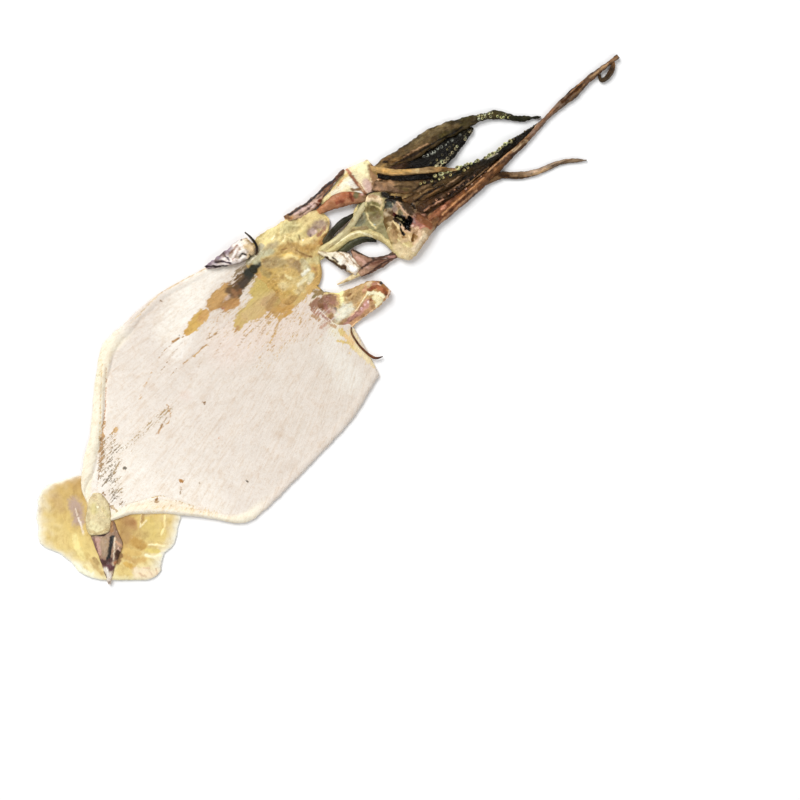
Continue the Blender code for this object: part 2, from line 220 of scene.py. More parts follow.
ARM_WEB = (
    (66, -23, 23, 0.9, 3.0),
    (75, -27, 22, 0.9, 3.4),
    (84, -25, 22, 0.9, 3.2),
    (92, -20, 22.5, 0.8, 2.6),
    (100, 3, 23, 0.8, 2.6),
    (114, 13, 24, 0.8, 2.2),
)

# Ribbons: x, y, half width, underside, thickness
NECK_CORD = (
    (-44.8, 16, 1.7, 1.6, 2.6),
    (-40.6, 27, 3.4, 1.3, 2.8),
    (-39.4, 36.5, 3.1, 1.2, 2.8),
    (-40.4, 44.5, 1.8, 1.2, 2.8),
    (-40.2, 54, 1.4, 1.4, 2.8),
    (-40.5, 62, 0.9, 1.8, 2.4),
)
CHEEK_MUSCLE = (
    (-34, 32, 1.6, 1.4, 2.8),
    (-30.5, 45, 4.2, 1.2, 4.2),
    (-26, 52.5, 4.2, 1.2, 4.2),
    (-18, 60, 2.0, 1.4, 3.4),
)
DARK_STRAND = (
    (-18, 20, 2.0, 1.2, 2.8),
    (-19.2, 32, 1.9, 1.6, 3.0),
    (-18.8, 41, 1.9, 1.5, 3.0),
    (-17, 48, 1.2, 1.3, 2.6),
)
PALE_STRAND = (
    (-17, 14, 2.4, 1.1, 2.6),
    (-14.5, 27, 2.2, 1.3, 3.2),
    (-13.5, 38, 2.2, 1.3, 3.4),
    (-15.5, 48, 2.2, 1.2, 3.4),
    (-18, 60, 2.2, 1.2, 3.2),
)
LOWER_ARC = (
    (-14, 14, 2.0, 1.4, 2.4),
    (-11, 26, 2.0, 1.2, 2.8),
    (-10, 35, 2.2, 1.1, 3.0),
    (-6, 43, 2.4, 1.1, 3.2),
    (1, 47.8, 2.2, 1.1, 3.2),
    (9, 50, 2.2, 1.1, 3.4),
    (17, 50, 2.4, 1.2, 3.4),
)
DARK_BAND = (
    (-7, 24, 2.0, 1.4, 2.4),
    (-6, 34, 2.4, 1.0, 2.4),
    (-3, 41, 2.2, 1.0, 2.4),
    (3, 46, 1.4, 1.2, 2.2),
)
PAPERY_FOLD = (
    (-17, 16, 1.6, 1.4, 2.8),
    (-9, 20, 3.0, 1.6, 3.6),
    (-1.5, 23.5, 4.8, 1.6, 4.4),
    (8.5, 25, 3.0, 1.5, 3.4),
)
LOOSE_STRAND = (
    (9.5, 25, 1.8, 1.4, 2.2),
    (7.5, 17.5, 1.2, 1.0, 1.8),
    (5, 10.5, 0.5, 0.8, 1.2),
)
SCRAP_BRISTLE = (
    (-56, -6.5, 0.4, 4.2, 0.9),
    (-51.5, -6.2, 0.7, 5.0, 1.1),
    (-46.5, -6.8, 0.8, 5.0, 1.2),
    (-43.5, -8.5, 0.8, 4.4, 1.2),
    (-41.8, -11.5, 0.4, 3.6, 0.9),
)
FRONT_CURL = (
    (29, -1.5, 0.3, 2.4, 1.0),
    (31.5, -3.8, 0.5, 2.6, 1.3),
    (36, -5.2, 0.6, 2.8, 1.4),
    (41.2, -6, 0.6, 2.8, 1.4),
    (47.5, -5.8, 0.7, 2.6, 1.4),
    (51.3, -5, 0.8, 2.2, 1.4),
    (53.3, -3.4, 0.7, 1.6, 1.2),
    (54.8, -0.6, 0.4, 1.2, 0.9),
)
ARM_BLADE = (
    (-26.5, 70, 3.0, 1.0, 3.4),
    (-26, 82, 3.4, 0.9, 3.6),
    (-20.5, 96, 5.4, 0.8, 3.8),
    (-18, 108, 5.6, 0.7, 3.8),
    (-15, 119, 5.0, 0.6, 3.6),
    (-11.3, 128, 4.2, 0.6, 3.4),
    (-7, 138, 2.8, 0.5, 3.0),
    (-1.5, 147.5, 2.4, 0.4, 2.8),
    (4.5, 152.8, 2.4, 0.4, 2.6),
    (10.2, 156.5, 2.0, 0.4, 2.2),
    (14.5, 161, 1.5, 0.4, 1.8),
    (20.3, 168, 0.5, 0.4, 1.2),
)
ARM_SUCKERED = (
    (-20, 74, 3.0, 0.7, 3.0),
    (-13, 88, 5.2, 0.6, 3.2),
    (-7.5, 99, 6.4, 0.5, 3.4),
    (-5.6, 109, 6.6, 0.4, 3.4),
    (-5, 119, 5.0, 0.3, 3.2),
    (-4.4, 128, 3.0, 0.3, 2.6),
    (-3.8, 134.5, 1.0, 0.4, 1.6),
)
TENTACLE_SHORT = (
    (-31, 73, 1.8, 2.2, 2.4),
    (-24.9, 76.9, 2.1, 3.2, 2.2),
    (-18, 82, 2.0, 3.6, 2.2),
    (-9.5, 91.5, 1.9, 3.5, 2.2),
    (-1.3, 101.3, 1.8, 3.3, 2.2),
    (8.5, 110.5, 0.8, 3.2, 1.8),
)
ARM_FRINGED = (
    (-24, 66, 3.6, 1.4, 3.6),
    (-13, 75, 4.2, 1.6, 4.2),
    (-3, 84.5, 4.3, 1.4, 4.4),
    (5, 97, 4.2, 1.1, 4.4),
    (11.6, 113, 3.6, 0.9, 4.2),
    (17, 128, 2.5, 0.7, 3.8),
    (19.1, 142, 2.3, 0.6, 3.4),
    (21, 154, 1.8, 0.5, 2.8),
    (22.6, 166, 0.8, 0.5, 1.8),
)
ARM_UNDER = (
    (-21, 70, 3.0, 0.5, 3.0),
    (-11, 82, 3.4, 0.4, 3.2),
    (-2, 94, 3.4, 0.4, 3.0),
    (6, 107, 1.8, 0.5, 2.2),
)
ARM_INNER = (
    (-2, 70, 3.4, 1.0, 4.4),
    (3.7, 85, 3.6, 0.8, 4.6),
    (8.6, 99, 3.6, 0.6, 4.4),
    (13, 114, 3.2, 0.5, 4.0),
    (17, 128, 2.6, 0.4, 3.4),
    (19.5, 141, 1.0, 0.4, 2.2),
)
ARM_MIDDLE = (
    (7.5, 72, 3.4, 1.1, 4.8),
    (12, 88, 3.4, 0.9, 4.8),
    (15.5, 101, 3.0, 0.7, 4.4),
    (17, 114, 2.4, 0.6, 4.0),
    (18.6, 128, 1.9, 0.5, 3.4),
    (20.2, 141, 0.9, 0.5, 2.2),
)
ARM_LONG = (
    (18, 62, 5.0, 0.4, 5.4),
    (18.2, 76, 4.8, 0.2, 5.4),
    (19.7, 90, 4.3, 0, 5.2),
    (21.6, 104, 3.7, 0, 4.8),
    (22.8, 118, 3.2, 0, 4.4),
    (23.2, 132, 2.9, 0, 4.0),
    (23.6, 146, 2.0, 0, 3.4),
    (23.3, 161, 1.7, 0, 2.8),
    (23, 176, 1.8, 0.1, 2.6),
    (24.1, 190, 2.8, 0.2, 2.6),
    (24.4, 202, 2.1, 0.3, 2.6),
    (25.6, 213, 1.6, 0.5, 2.4),
    (27.3, 226.4, 1.3, 1.0, 1.8),
)
TIP_HOOK = (
    (26.8, 222, 0.9, 0.8, 1.8),
    (29.6, 219.5, 1.5, 0.6, 2.0),
    (31.6, 213, 1.6, 0.5, 2.0),
    (30.3, 209, 1.4, 0.5, 1.8),
    (27, 210.5, 0.7, 0.5, 1.6),
)
TENTACLE_THIN = (
    (22, 108, 1.6, 0.6, 2.4),
    (27.5, 125, 2.0, 0.4, 2.4),
    (34.5, 132.5, 2.1, 0.3, 2.2),
    (40.2, 139.8, 1.9, 0.2, 2.0),
    (44, 147.8, 1.6, 0.2, 1.8),
    (47.2, 155.8, 1.4, 0.2, 1.8),
    (51.7, 162.2, 1.2, 0.3, 1.6),
    (58, 169, 0.5, 0.4, 1.2),
)

# Crinkles that the solid has too
CRINKLE_SIZE = 11
CRINKLE_DEPTH = 0.7
WAVE_SIZE = 22
WAVE_DEPTH = 0.35

# Marks: the points of a line or spot, its width and colour, its cover from 0 to 1, and how far it stands up
# or sinks in. A row without the last ones has cover 1 and no height. A cover under 0 tints the bloom instead.
# Some marks are painted light: highlights, glints and shadows, each noted above its row.
MANTLE_MARKS = (
    (((-15, -60.5), (-7.5, -40.5), (0.5, -17)), 26.5, (236, 221, 210), -0.6),
    (((-19, -48.5), (-18.5, -52.5)), 1.8, (190, 150, 90)),
    (((-5, -27), (-2, -35)), 1.4, (196, 154, 90), 0.9),
    (((-2, -35), (1.5, -43)), 1, (200, 158, 96), 0.9),
    (((4.5, -40), (3.5, -46.5)), 0.8, (190, 148, 92), 0.9),
    (((4, -18.5), (6.5, -23)), 1.4, (200, 164, 104), 0.8),
    (((-11, -29), (-11, -34)), 1.8, (190, 150, 90), 0.9),
    (((-13.5, -35), (-13.5, -40)), 1.2, (186, 146, 88), 0.8),
    (((-18.5, -25), (-16, -18.5)), 1.8, (164, 134, 84), 0.7, -0.2),
    (((-38, -76.5), (-39.5, -81), (-40, -88.5), (-39.5, -94), (-38.5, -99)), 0.6, (176, 138, 96), 1, -0.2),
    (((-36, -79.5), (-35.5, -88), (-33.5, -95), (-32.5, -102)), 0.5, (160, 128, 94), 1, -0.2),
    (((-43, -86.5), (-43, -90.5)), 0.4, (170, 142, 112), 0.8),
    (((-40, -79), (-40.5, -83.5)), 1.2, (190, 148, 96)),
    (((-40, -77.5),), 1.1, (100, 92, 84), 0.9),
    (((-24.5, -69.5), (-25.5, -75), (-26.5, -88)), 0.8, (188, 152, 106), 1, -0.2),
    (((-25, -75.5), (-25.5, -80.5)), 1.6, (200, 164, 112), 0.9),
    (((-25.5, -57), (-25.5, -63), (-26.5, -67)), 0.5, (158, 128, 98), 1, -0.2),
    (((-25, -43.5), (-24.5, -56.5)), 0.4, (168, 148, 126), 0.8, -0.2),
    (((-24.5, -37.5), (-24.5, -44)), 0.4, (150, 128, 104), 0.8, -0.2),
    (((-27.5, -93), (-27, -98.5)), 0.7, (184, 150, 114), 0.9),
    (((-24, -98),), 1, (156, 136, 120), 0.9),
    (((-12, -101),), 6, (238, 220, 210), -0.4),
    (((-2, -25), (-1.5, -31)), 0.5, (180, 152, 120), 0.8),
    (((1.5, -24.5), (3.5, -31.5)), 0.4, (186, 160, 130), 0.7),
    (((7.5, -18.5), (9, -29)), 0.5, (190, 164, 132), 0.7),
    (((26, -7.5), (32, -7.5), (37.5, -9), (44, -8.5), (51, -7)), 3.5, (226, 202, 134), 0.9),
    (((23, -11), (40, -13.5)), 3, (236, 222, 180), 0.45),
    (((23, -13.5), (22, -23)), 0.6, (206, 178, 128), 0.8),
    (((20.5, -16), (19.5, -27)), 0.5, (200, 172, 124), 0.8),
    (((25.5, -9.5), (25.5, -16)), 0.6, (212, 184, 128), 0.8),
    (((14.5, -18.5), (13.5, -29.5)), 0.5, (196, 170, 140), 0.7),
    (((-36.5, -105), (-30, -121.5)), 2.4, (214, 182, 144), 0.5),
    (((-11, -118.5), (-8, -128.5)), 1.8, (176, 140, 96), 0.7),
    (((-13, -112), (-14.5, -129), (-14.5, -147.5)), 7, (158, 142, 112), 0.42),
    (((-19.5, -152.5), (-12, -163.5), (0, -172)), 12, (152, 140, 116), 0.48),
    (((-27, -153), (-15, -166.5)), 5.5, (206, 172, 118), 0.5),
    (((22, -138.5),), 3, (186, 138, 82)),
    (((-7, -157),), 2.4, (132, 124, 108)),
    (((-1, -96),), 1.8, (140, 110, 80)),
    (((50, -111),), 1.8, (56, 46, 36)),
    (((20, -157.5),), 3, (156, 116, 66)),
    (((24.5, -141.5), (28, -145)), 1, (150, 120, 90)),
    (((31, -132),), 1.8, (150, 136, 116), 0.9),
    (((-61, -71), (-63.5, -71)), 1.2, (160, 134, 104), 0.9),
    (((19, -107.5), (21, -102)), 1.8, (222, 190, 168), 0.5),
    (((-57.5, -122.5), (-40.5, -140.5), (-35, -147.5), (-10.5, -176.5)), 0.9, (206, 166, 132), 0.8, -0.5),
    (((-35.5, -146.5), (-28.5, -155), (-16.5, -168.5)), 3.5, (206, 168, 116), 0.6),
    (((-68, -118), (-53, -134.5)), 5.5, (222, 216, 176), 0.5),
    (((-66, -94.5), (-66.5, -68), (-58, -40), (-50, -17)), 1.2, (222, 200, 160), 0.7, -0.3),
    (((17.5, -169.5), (31, -153), (50, -138.5)), 6, (248, 230, 190), 0.45),
    (((31, -3), (42.5, -7.5), (51, -8), (58.5, -6)), 5.5, (238, 222, 178), 0.75),
    (((-17, -169), (-62.5, -121)), 1.2, (232, 204, 150), 0.7, -0.2),
    (((-17, -162), (-27.5, -145)), 5.5, (214, 176, 120), 0.5),
    (((-7.5, -168), (-15, -162.5), (-19, -153.5)), 4, (118, 104, 84), 0.5),
    # Painted shadow: a soft brown line beside the tail's leaf
    (((-6, -176.5), (0.5, -179.5), (6.5, -179)), 2, (170, 140, 110), 0.6, -0.3),
    (((2, -175), (8, -173.5)), 5, (150, 126, 104), 0.45),
    (((1.5, -16), (27, -18)), 15.5, (226, 214, 202), -0.5),
    (((-48.5, -56), (-35.5, -85.5)), 13, (252, 248, 240), -0.5),
    (((-61, -36), (-49.5, -29.5)), 8.5, (250, 245, 235), -0.5),
    (((-11.5, -19), (-7, -29.5)), 1.4, (198, 158, 92)),
    (((-9.5, -32), (-6, -42.5)), 0.7, (190, 150, 96), 0.9),
    (((-15.5, -41.5), (-12, -55)), 0.6, (184, 146, 98), 0.8),
    (((-13.5, -46.5), (-9.5, -59.5)), 0.5, (176, 142, 104), 0.8),
    (((-7.5, -40.5), (-4.5, -49)), 0.5, (186, 150, 108), 0.8),
    (((14.5, -3.5), (25.5, -11)), 6.5, (234, 228, 206), -0.8),
    (((30.5, -7.5), (36.5, -7.5)), 3, (236, 204, 146), 0.9),
    (((29, -13), (34.5, -9.5)), 1.8, (222, 196, 130), 0.9),
    (((-47, -79.5), (-53, -60.5), (-56.5, -32)), 18, (252, 247, 236), -0.6),
    (((-8.5, -160.5), (17, -160.5), (38, -139)), 24, (250, 243, 232), -0.5),
    (((27.5, -18), (51, -24.5)), 14.5, (238, 234, 224), -0.5),
    (((-32, -48), (-25.5, -75.5)), 0.6, (186, 150, 104), 0.8),
    (((-22, -51.5), (-17, -72)), 0.5, (180, 146, 104), 0.8),
    (((-22, -74), (-17, -87.5)), 0.5, (176, 144, 108), 0.7),
    (((-17, -65.5), (-14.5, -74.5)), 0.4, (170, 140, 104), 0.7),
    (((-39, -50), (-39.5, -44.5), (-39, -38)), 9, (188, 146, 88), 1.1),
    (((-33, -46), (-33, -40), (-34.5, -34.5)), 6.5, (150, 114, 68), 1.1),
    (((-35.5, -35.5), (-37, -20)), 8, (100, 86, 58)),
    (((-19, -34.5), (-18.5, -23.5), (-16, -15)), 12.5, (208, 176, 114), 1.1),
    (((-20.5, -46), (-19, -29)), 6.5, (211, 183, 132), 1.1),
    (((-11, -25.5), (-9.5, -17), (-9.5, -10)), 8, (192, 154, 92), 1.1),
    (((-5, -16), (-5, -9.5)), 5.5, (196, 162, 100)),
    (((-36.5, -24.5), (-37, -20)), 6, (50, 50, 36), 1.2, -0.2),
    (((-36, -16.5), (-36, -11.5)), 5, (58, 56, 40), 1.3),
    (((-35.5, -31.5), (-36, -27.5)), 5, (76, 60, 42), 1.2, -0.1),
    (((-40, -30.5), (-39.5, -26.5)), 3.5, (112, 88, 58), 0.8),
    (((-38, -32.5),), 2.4, (122, 96, 84), 0.8),
    (((-40, -50), (-41, -44), (-39.5, -38.5)), 5.5, (200, 160, 100), 1.3, -0.2),
    (((-38.5, -38), (-36.5, -34)), 3.5, (112, 84, 50), 1.2),
    (((-35, -37.5), (-33.5, -33.5)), 3, (136, 96, 58), 1.1),
    (((-32.5, -46), (-30.5, -40)), 5, (188, 144, 88), 1.3, -0.2),
    (((-33, -48),), 1.8, (186, 138, 102)),
    (((-36, -43), (-36, -40)), 2.1, (214, 190, 166), 0.5),
    (((-38.5, -73.5), (-38.5, -68)), 4, (210, 168, 94), 1.3, -0.2),
    (((-38.5, -68.5), (-39, -59.5)), 7, (213, 176, 98), 1.3, -0.3),
    (((-37.5, -62), (-38.5, -57)), 4, (208, 166, 102), 1.3, -0.2),
    (((-26, -20), (-24.5, -25.5)), 11, (202, 178, 104), 1.3),
    (((-20.5, -28), (-21.5, -35.5), (-21, -43)), 8, (206, 182, 112), 1.3),
    (((-20.5, -44), (-19.5, -49)), 5, (204, 176, 110), 1.2),
    (((-19, -49.5), (-18.5, -52)), 1.8, (190, 150, 100)),
    (((-17.5, -27.5), (-16, -23)), 5, (184, 148, 96), 1.2),
    (((-17, -27), (-15.5, -19.5)), 1.6, (120, 100, 60), 1, -0.2),
    (((-14.5, -22), (-11.5, -17.5)), 6, (190, 164, 100), 1.2),
    (((-8, -22.5), (-7, -18)), 6.5, (198, 156, 86), 1.3),
    (((-6, -13.5), (-6, -7.5)), 6, (206, 176, 110), 1.2),
    (((-5, -27.5), (-4.5, -23.5), (-3.5, -21)), 3, (204, 164, 94), 1.2),
    (((-2.5, -32), (0, -37.5), (1, -43)), 1.3, (212, 180, 130), 0.9),
    (((-10.5, -40.5), (-11.5, -35)), 0.8, (170, 150, 120), 0.7),
    (((-26, -67.5), (-25.5, -58), (-24.5, -52.5), (-25, -44.5)), 0.4, (176, 148, 112), 0.9, -0.2),
    (((-29, -32),), 1, (130, 124, 112)),
    (((-11.5, -4.5), (-11, 2)), 6, (208, 178, 112)),
    (((0, -5), (1, 0.5)), 2.1, (140, 124, 80)),
    (((2, -9), (2.5, -4)), 2.4, (236, 226, 204), -0.9),
    (((4.5, -9.5), (5.5, -4.5)), 5, (164, 126, 100), 0.8),
    (((9, -11.5), (9, -6.5)), 3.5, (180, 136, 114), 0.6),
    (((16, -11), (16.5, -5.5)), 3, (204, 166, 144), 0.5),
    (((-6, -5), (-5.5, -0.5), (-2, 3)), 6, (210, 174, 106), 1.3),
    (((0.5, 2), (4, 2.5)), 1.8, (112, 100, 58)),
    (((3.5, -9), (3.5, -4)), 4, (158, 120, 92)),
    (((6.5, -11), (10.5, -11.5)), 2.4, (178, 132, 104), 0.8),
    (((16.5, -15), (17, -8.5)), 2.4, (198, 160, 136), 0.7),
    (((19.5, -18.5), (19.5, -10)), 1.5, (216, 190, 172), 0.6),
    (((3, -15), (5, -21)), 1, (204, 170, 124), 0.7),
    (((-1, -18.5), (1, -27.5)), 0.8, (206, 176, 132), 0.7),
    (((-4, -26.5), (-2, -35)), 0.8, (206, 178, 136), 0.6),
    (((-13, -35.5), (-10.5, -46)), 0.7, (200, 170, 130), 0.7),
    (((-8.5, -34.5), (-6, -42.5)), 0.6, (200, 172, 134), 0.7),
    (((-16, -112.5), (-11, -114.5), (-8, -119), (-8.5, -126.5),
      (-8, -129.5)), 1.1, (200, 160, 112), 0.8, -0.1),
    (((-28, -155), (-16.5, -168.5)), 4, (186, 150, 104), 0.7),
    (((-24.5, -152), (-18, -161), (-12, -170.5)), 8, (138, 126, 104), 0.42),
    (((-9.5, -171.5), (3.5, -174)), 6.5, (120, 112, 100), 0.36),
    (((8, -175), (12, -166.5), (16, -159.5), (20.5, -153), (38.5, -144)), 1.1, (214, 190, 150), 0.5, -0.3),
    (((17.5, -161), (23, -154), (39, -144)), 0.8, (222, 198, 160), 0.5, -0.2),
    (((11.5, -172), (18.5, -162), (27, -153.5), (39, -146.5)), 5, (250, 238, 212), -0.6),
    (((-40, -34.5), (-41.5, -25.5)), 4, (116, 88, 50), 0.6),
    (((-36, -33.5), (-35.5, -37.5)), 3.5, (98, 72, 40), 0.7),
    (((18, -15.5), (17, -7.5)), 2.4, (198, 162, 138), 0.5),
    (((15, -15), (14, -8)), 1.2, (186, 150, 124), 0.7),
    (((8.5, -14.5), (9, -22)), 0.8, (196, 166, 134), 0.6),
    (((22.5, -10.5), (24, -4.5)), 1, (206, 186, 150), 0.6),
    (((-8.5, -26), (-7.5, -37.5)), 0.8, (198, 164, 108), 0.7),
    (((-5.5, -21.5), (-4, -30)), 1, (200, 164, 104), 0.8),
    (((-2, -15), (-0.5, -23.5)), 1, (196, 160, 104), 0.8),
    (((-13, -39), (-11.5, -48)), 0.7, (200, 168, 124), 0.7),
    (((-24.5, -51), (-24.5, -62.5)), 0.6, (196, 166, 124), 0.7),
    (((-24.5, -46), (-24.5, -54.5)), 0.6, (200, 172, 136), 0.6),
    (((-36.5, -36.5), (-33.5, -37)), 2.4, (150, 110, 70), 0.9),
    (((-9.5, -6.5), (-6, -6.5)), 2.4, (212, 188, 128), 0.9),
    (((-10, -21.5), (-7.5, -14.5)), 3.5, (198, 166, 112), 0.5),
    (((9.5, -9), (17.5, -8)), 2.4, (180, 142, 122), 0.8),
    (((0.5, -17), (2.5, -25.5)), 0.7, (196, 160, 110), 0.8),
    (((-5, -23), (-4.5, -29)), 0.6, (200, 164, 112), 0.8),
    (((-43, -26), (-40.5, -16.5)), 3, (150, 130, 98), 0.8),
    (((-20.5, -41.5), (-19, -29.5), (-17.5, -22.5)), 6, (210, 180, 130), 0.5),
    (((-13.5, -29.5), (-15.5, -25.5), (-15.5, -21)), 3, (180, 146, 92)),
    (((-21.5, -12.5), (-20.5, -10)), 3, (192, 162, 106)),
    (((-1.5, -2.5), (4.5, 2)), 3, (158, 132, 86), 0.9),
    (((8, -13), (12, -12)), 2.5, (190, 156, 120), 0.9),
    (((18, -9.5), (22, -8)), 2.1, (196, 164, 126), 0.9),
    (((4, -178.5), (8, -179)), 1.6, (214, 190, 148)),
)
SCRAP_MARKS = (
    (((-59, -37.5), (-58, -28), (-56, -21)), 5.5, (150, 132, 135), 0.9),
    (((-48.5, -11.5), (-44.5, -9.5), (-43.5, -14.5)), 4, (218, 194, 150), 0.9),
    (((-59.5, -38), (-57.5, -24.5), (-56, -10.5)), 0.7, (112, 94, 96)),
    (((-59, -38.5), (-46, -25.5), (-43, -19.5), (-42.5, -12)), 1.1, (56, 42, 42), 1, -0.3),
    (((-47.5, -19.5), (-48, -16.5), (-45.5, -15.5)), 0.7, (46, 36, 32), 1, -0.4),
    (((-56.5, -24.5), (-50.5, -25)), 0.7, (104, 88, 90), 1, -0.3),
    (((-56, -31.5), (-52.5, -28), (-48.5, -25.5)), 1, (96, 80, 84), 1, -0.3),
    (((-53, -21.5), (-53.5, -15)), 1, (178, 146, 126), 0.9, -0.2),
    (((-49, -23.5), (-51, -16)), 0.7, (196, 170, 150), 0.9, -0.3),
    (((-44, -14), (-42, -14)), 0.8, (40, 34, 28), 1, -0.2),
    (((-56, -10.5), (-54, -11)), 0.7, (40, 34, 28), 1, 0.2),
)
TAIL_MARKS = (
    (((-14, -193), (-8.5, -196), (-5, -199)), 7, (198, 172, 148), 0.9),
    (((-5.5, -198), (-1, -200), (3.5, -203)), 0.9, (242, 230, 208), 1, 0.3),
    (((-11, -195), (-7, -197.5)), 0.5, (240, 226, 200), 0.8, 0.2),
    (((4, -207), (12, -209.5)), 8.5, (234, 210, 138), 0.9),
    (((0.5, -207), (6.5, -211), (13.5, -213)), 3, (246, 228, 158), 0.9),
    (((13.5, -219.5), (23.5, -216.5)), 4, (255, 250, 216)),
    (((17.5, -215.5), (22, -214.5)), 2.4, (250, 234, 176), 0.9),
    (((17.5, -210.5), (27.5, -211.5)), 2.4, (214, 182, 120), 0.5),
    (((15, -182.5), (22, -184), (25.5, -191)), 14, (210, 174, 108), 0.5),
    (((15, -181), (20, -182), (23, -187)), 8, (188, 150, 94), 0.6),
    (((16, -178), (20.5, -177.5)), 5, (196, 154, 102)),
    (((27, -184), (33, -183)), 5.5, (206, 168, 98), 0.9),
    (((26, -171.5), (33, -173)), 9.5, (228, 204, 130)),
    (((31.5, -166.5), (37, -170.5)), 5, (232, 208, 136)),
    (((19, -169), (24.5, -176)), 0.6, (242, 228, 186), 1, 0.3),
    (((24.5, -176), (24, -170)), 0.6, (240, 224, 176), 1, 0.3),
    (((20, -169), (23, -172.5)), 1.8, (198, 166, 108), 0.9),
    (((30, -160.5), (34.5, -165), (36.5, -170)), 0.8, (248, 230, 168), 1, 0.3),
    (((35.5, -179.5), (39, -176), (42.5, -173.5)), 0.8, (250, 236, 184), 1, 0.3),
    (((37, -182.5), (42, -178.5)), 2.4, (232, 210, 130), 0.9),
    (((38.5, -185), (43, -182.5), (45, -179.5)), 1.6, (246, 236, 194), 1, 0.2),
    (((30, -194.5), (36.5, -192.5), (39.5, -188)), 3.5, (212, 172, 104), 0.5),
    (((29, -191.5), (34.5, -188)), 3.5, (228, 196, 124), 0.9),
    (((34, -202.5), (39, -199.5)), 5.5, (232, 208, 138)),
    (((34, -197.5), (38.5, -195.5)), 3, (226, 190, 110), 0.9),
    (((42.5, -196), (51, -189)), 6.5, (242, 224, 186), 0.9, 0.1),
    (((43.5, -195.5), (47.5, -194.5)), 1.4, (226, 196, 156), 0.5, -0.1),
    (((47, -190.5), (50, -191)), 0.8, (226, 196, 160), 0.5, -0.1),
    (((48.5, -186.5), (51.5, -188.5)), 0.8, (226, 196, 160), 0.5, -0.1),
    (((43, -191.5), (45.5, -189)), 0.7, (226, 196, 156), 0.8, 0.2),
    (((24, -194.5), (26, -195)), 1.8, (176, 128, 88), 0.8),
    (((12, -175.5), (17.5, -180.5), (23, -186.5)), 5.5, (196, 162, 108), 0.45),
    (((23, -180), (29.5, -176.5)), 5, (206, 178, 118), 0.45),
    (((28, -196), (30, -200)), 2.4, (164, 130, 86), 0.9),
    (((18, -208.5), (21.5, -209)), 2.4, (192, 164, 108), 0.7),
    (((-8.5, -186), (-4.5, -188.5)), 3.5, (246, 234, 206), 0.6),
    (((21, -168), (23, -164.5)), 3, (214, 190, 146), 0.5),
    (((-24, -199.5), (-17, -201)), 6, (206, 174, 122), 0.4),
)
LEAF_MARKS = (
    (((-4.5, -186), (-1.5, -188)), 4, (216, 202, 146), 0.8),
    # Painted highlight: a pale spot on the leaf
    (((-2, -184.5),), 1.1, (250, 242, 208), 1, 0.2),
    (((-8.5, -187), (-5.5, -192), (-1.5, -195.5)), 0.7, (244, 232, 190), 1, 0.2),
    (((2.5, -195), (8.5, -194.5)), 5, (234, 222, 174), 0.9),
    (((0.5, -183), (6.5, -184.5)), 1.8, (222, 206, 154), 0.8),
    (((4, -198.5), (9, -196.5), (11.5, -190.5)), 1.5, (206, 186, 136), 0.8),
)
CONE_MARKS = (
    # Painted shadow: a dark line along the leaf's lower edge
    (((7, -199.5), (12.5, -194.5), (13, -190), (12, -187)), 0.9, (74, 54, 48), 1, -0.3),
    (((12, -199), (17.5, -202.5)), 3.5, (202, 166, 146), 1, 0.1),
    (((15.5, -196.5), (20.5, -201)), 3, (192, 166, 124), 1, 0.1),
    (((9.5, -200), (21, -207)), 1.2, (152, 118, 108), 1, -0.1),
    (((23, -206.5), (29, -205)), 3.5, (122, 82, 82)),
    (((17, -191), (22, -199), (25.5, -203.5)), 2, (74, 78, 74), 1, -0.5),
    (((18.5, -190.5), (29, -202.5)), 0.6, (228, 212, 182), 1, 0.4),
    (((26, -195.5), (28, -197.5)), 3, (98, 72, 58), 1, -0.6),
    (((24, -193.5), (29, -194.5), (30, -195.5), (29, -201)), 0.6, (232, 198, 172), 1, 0.4),
    (((20.5, -191.5), (24.5, -191.5)), 1.2, (206, 166, 130)),
    (((29.5, -201), (30.5, -198.5)), 2.4, (190, 136, 98)),
    (((28, -208.5), (32, -210.5)), 3.5, (236, 226, 206)),
    (((34.5, -212),), 1.2, (150, 138, 126)),
    (((27.5, -210), (31.5, -211)), 0.6, (160, 136, 110), 0.8, -0.2),
    (((9, -185.5), (13.5, -189)), 2.4, (176, 136, 92)),
    (((15, -197), (20.5, -201)), 3.5, (176, 152, 124), 0.9),
    (((16.5, -192), (21, -197), (24.5, -202)), 1.4, (66, 62, 58), 1, -0.4),
    (((21, -207), (25, -205.5), (26.5, -201.5)), 3, (104, 76, 70), 0.8, -0.2),
    (((26, -196),), 2.5, (96, 68, 46), 1, -0.5),
)
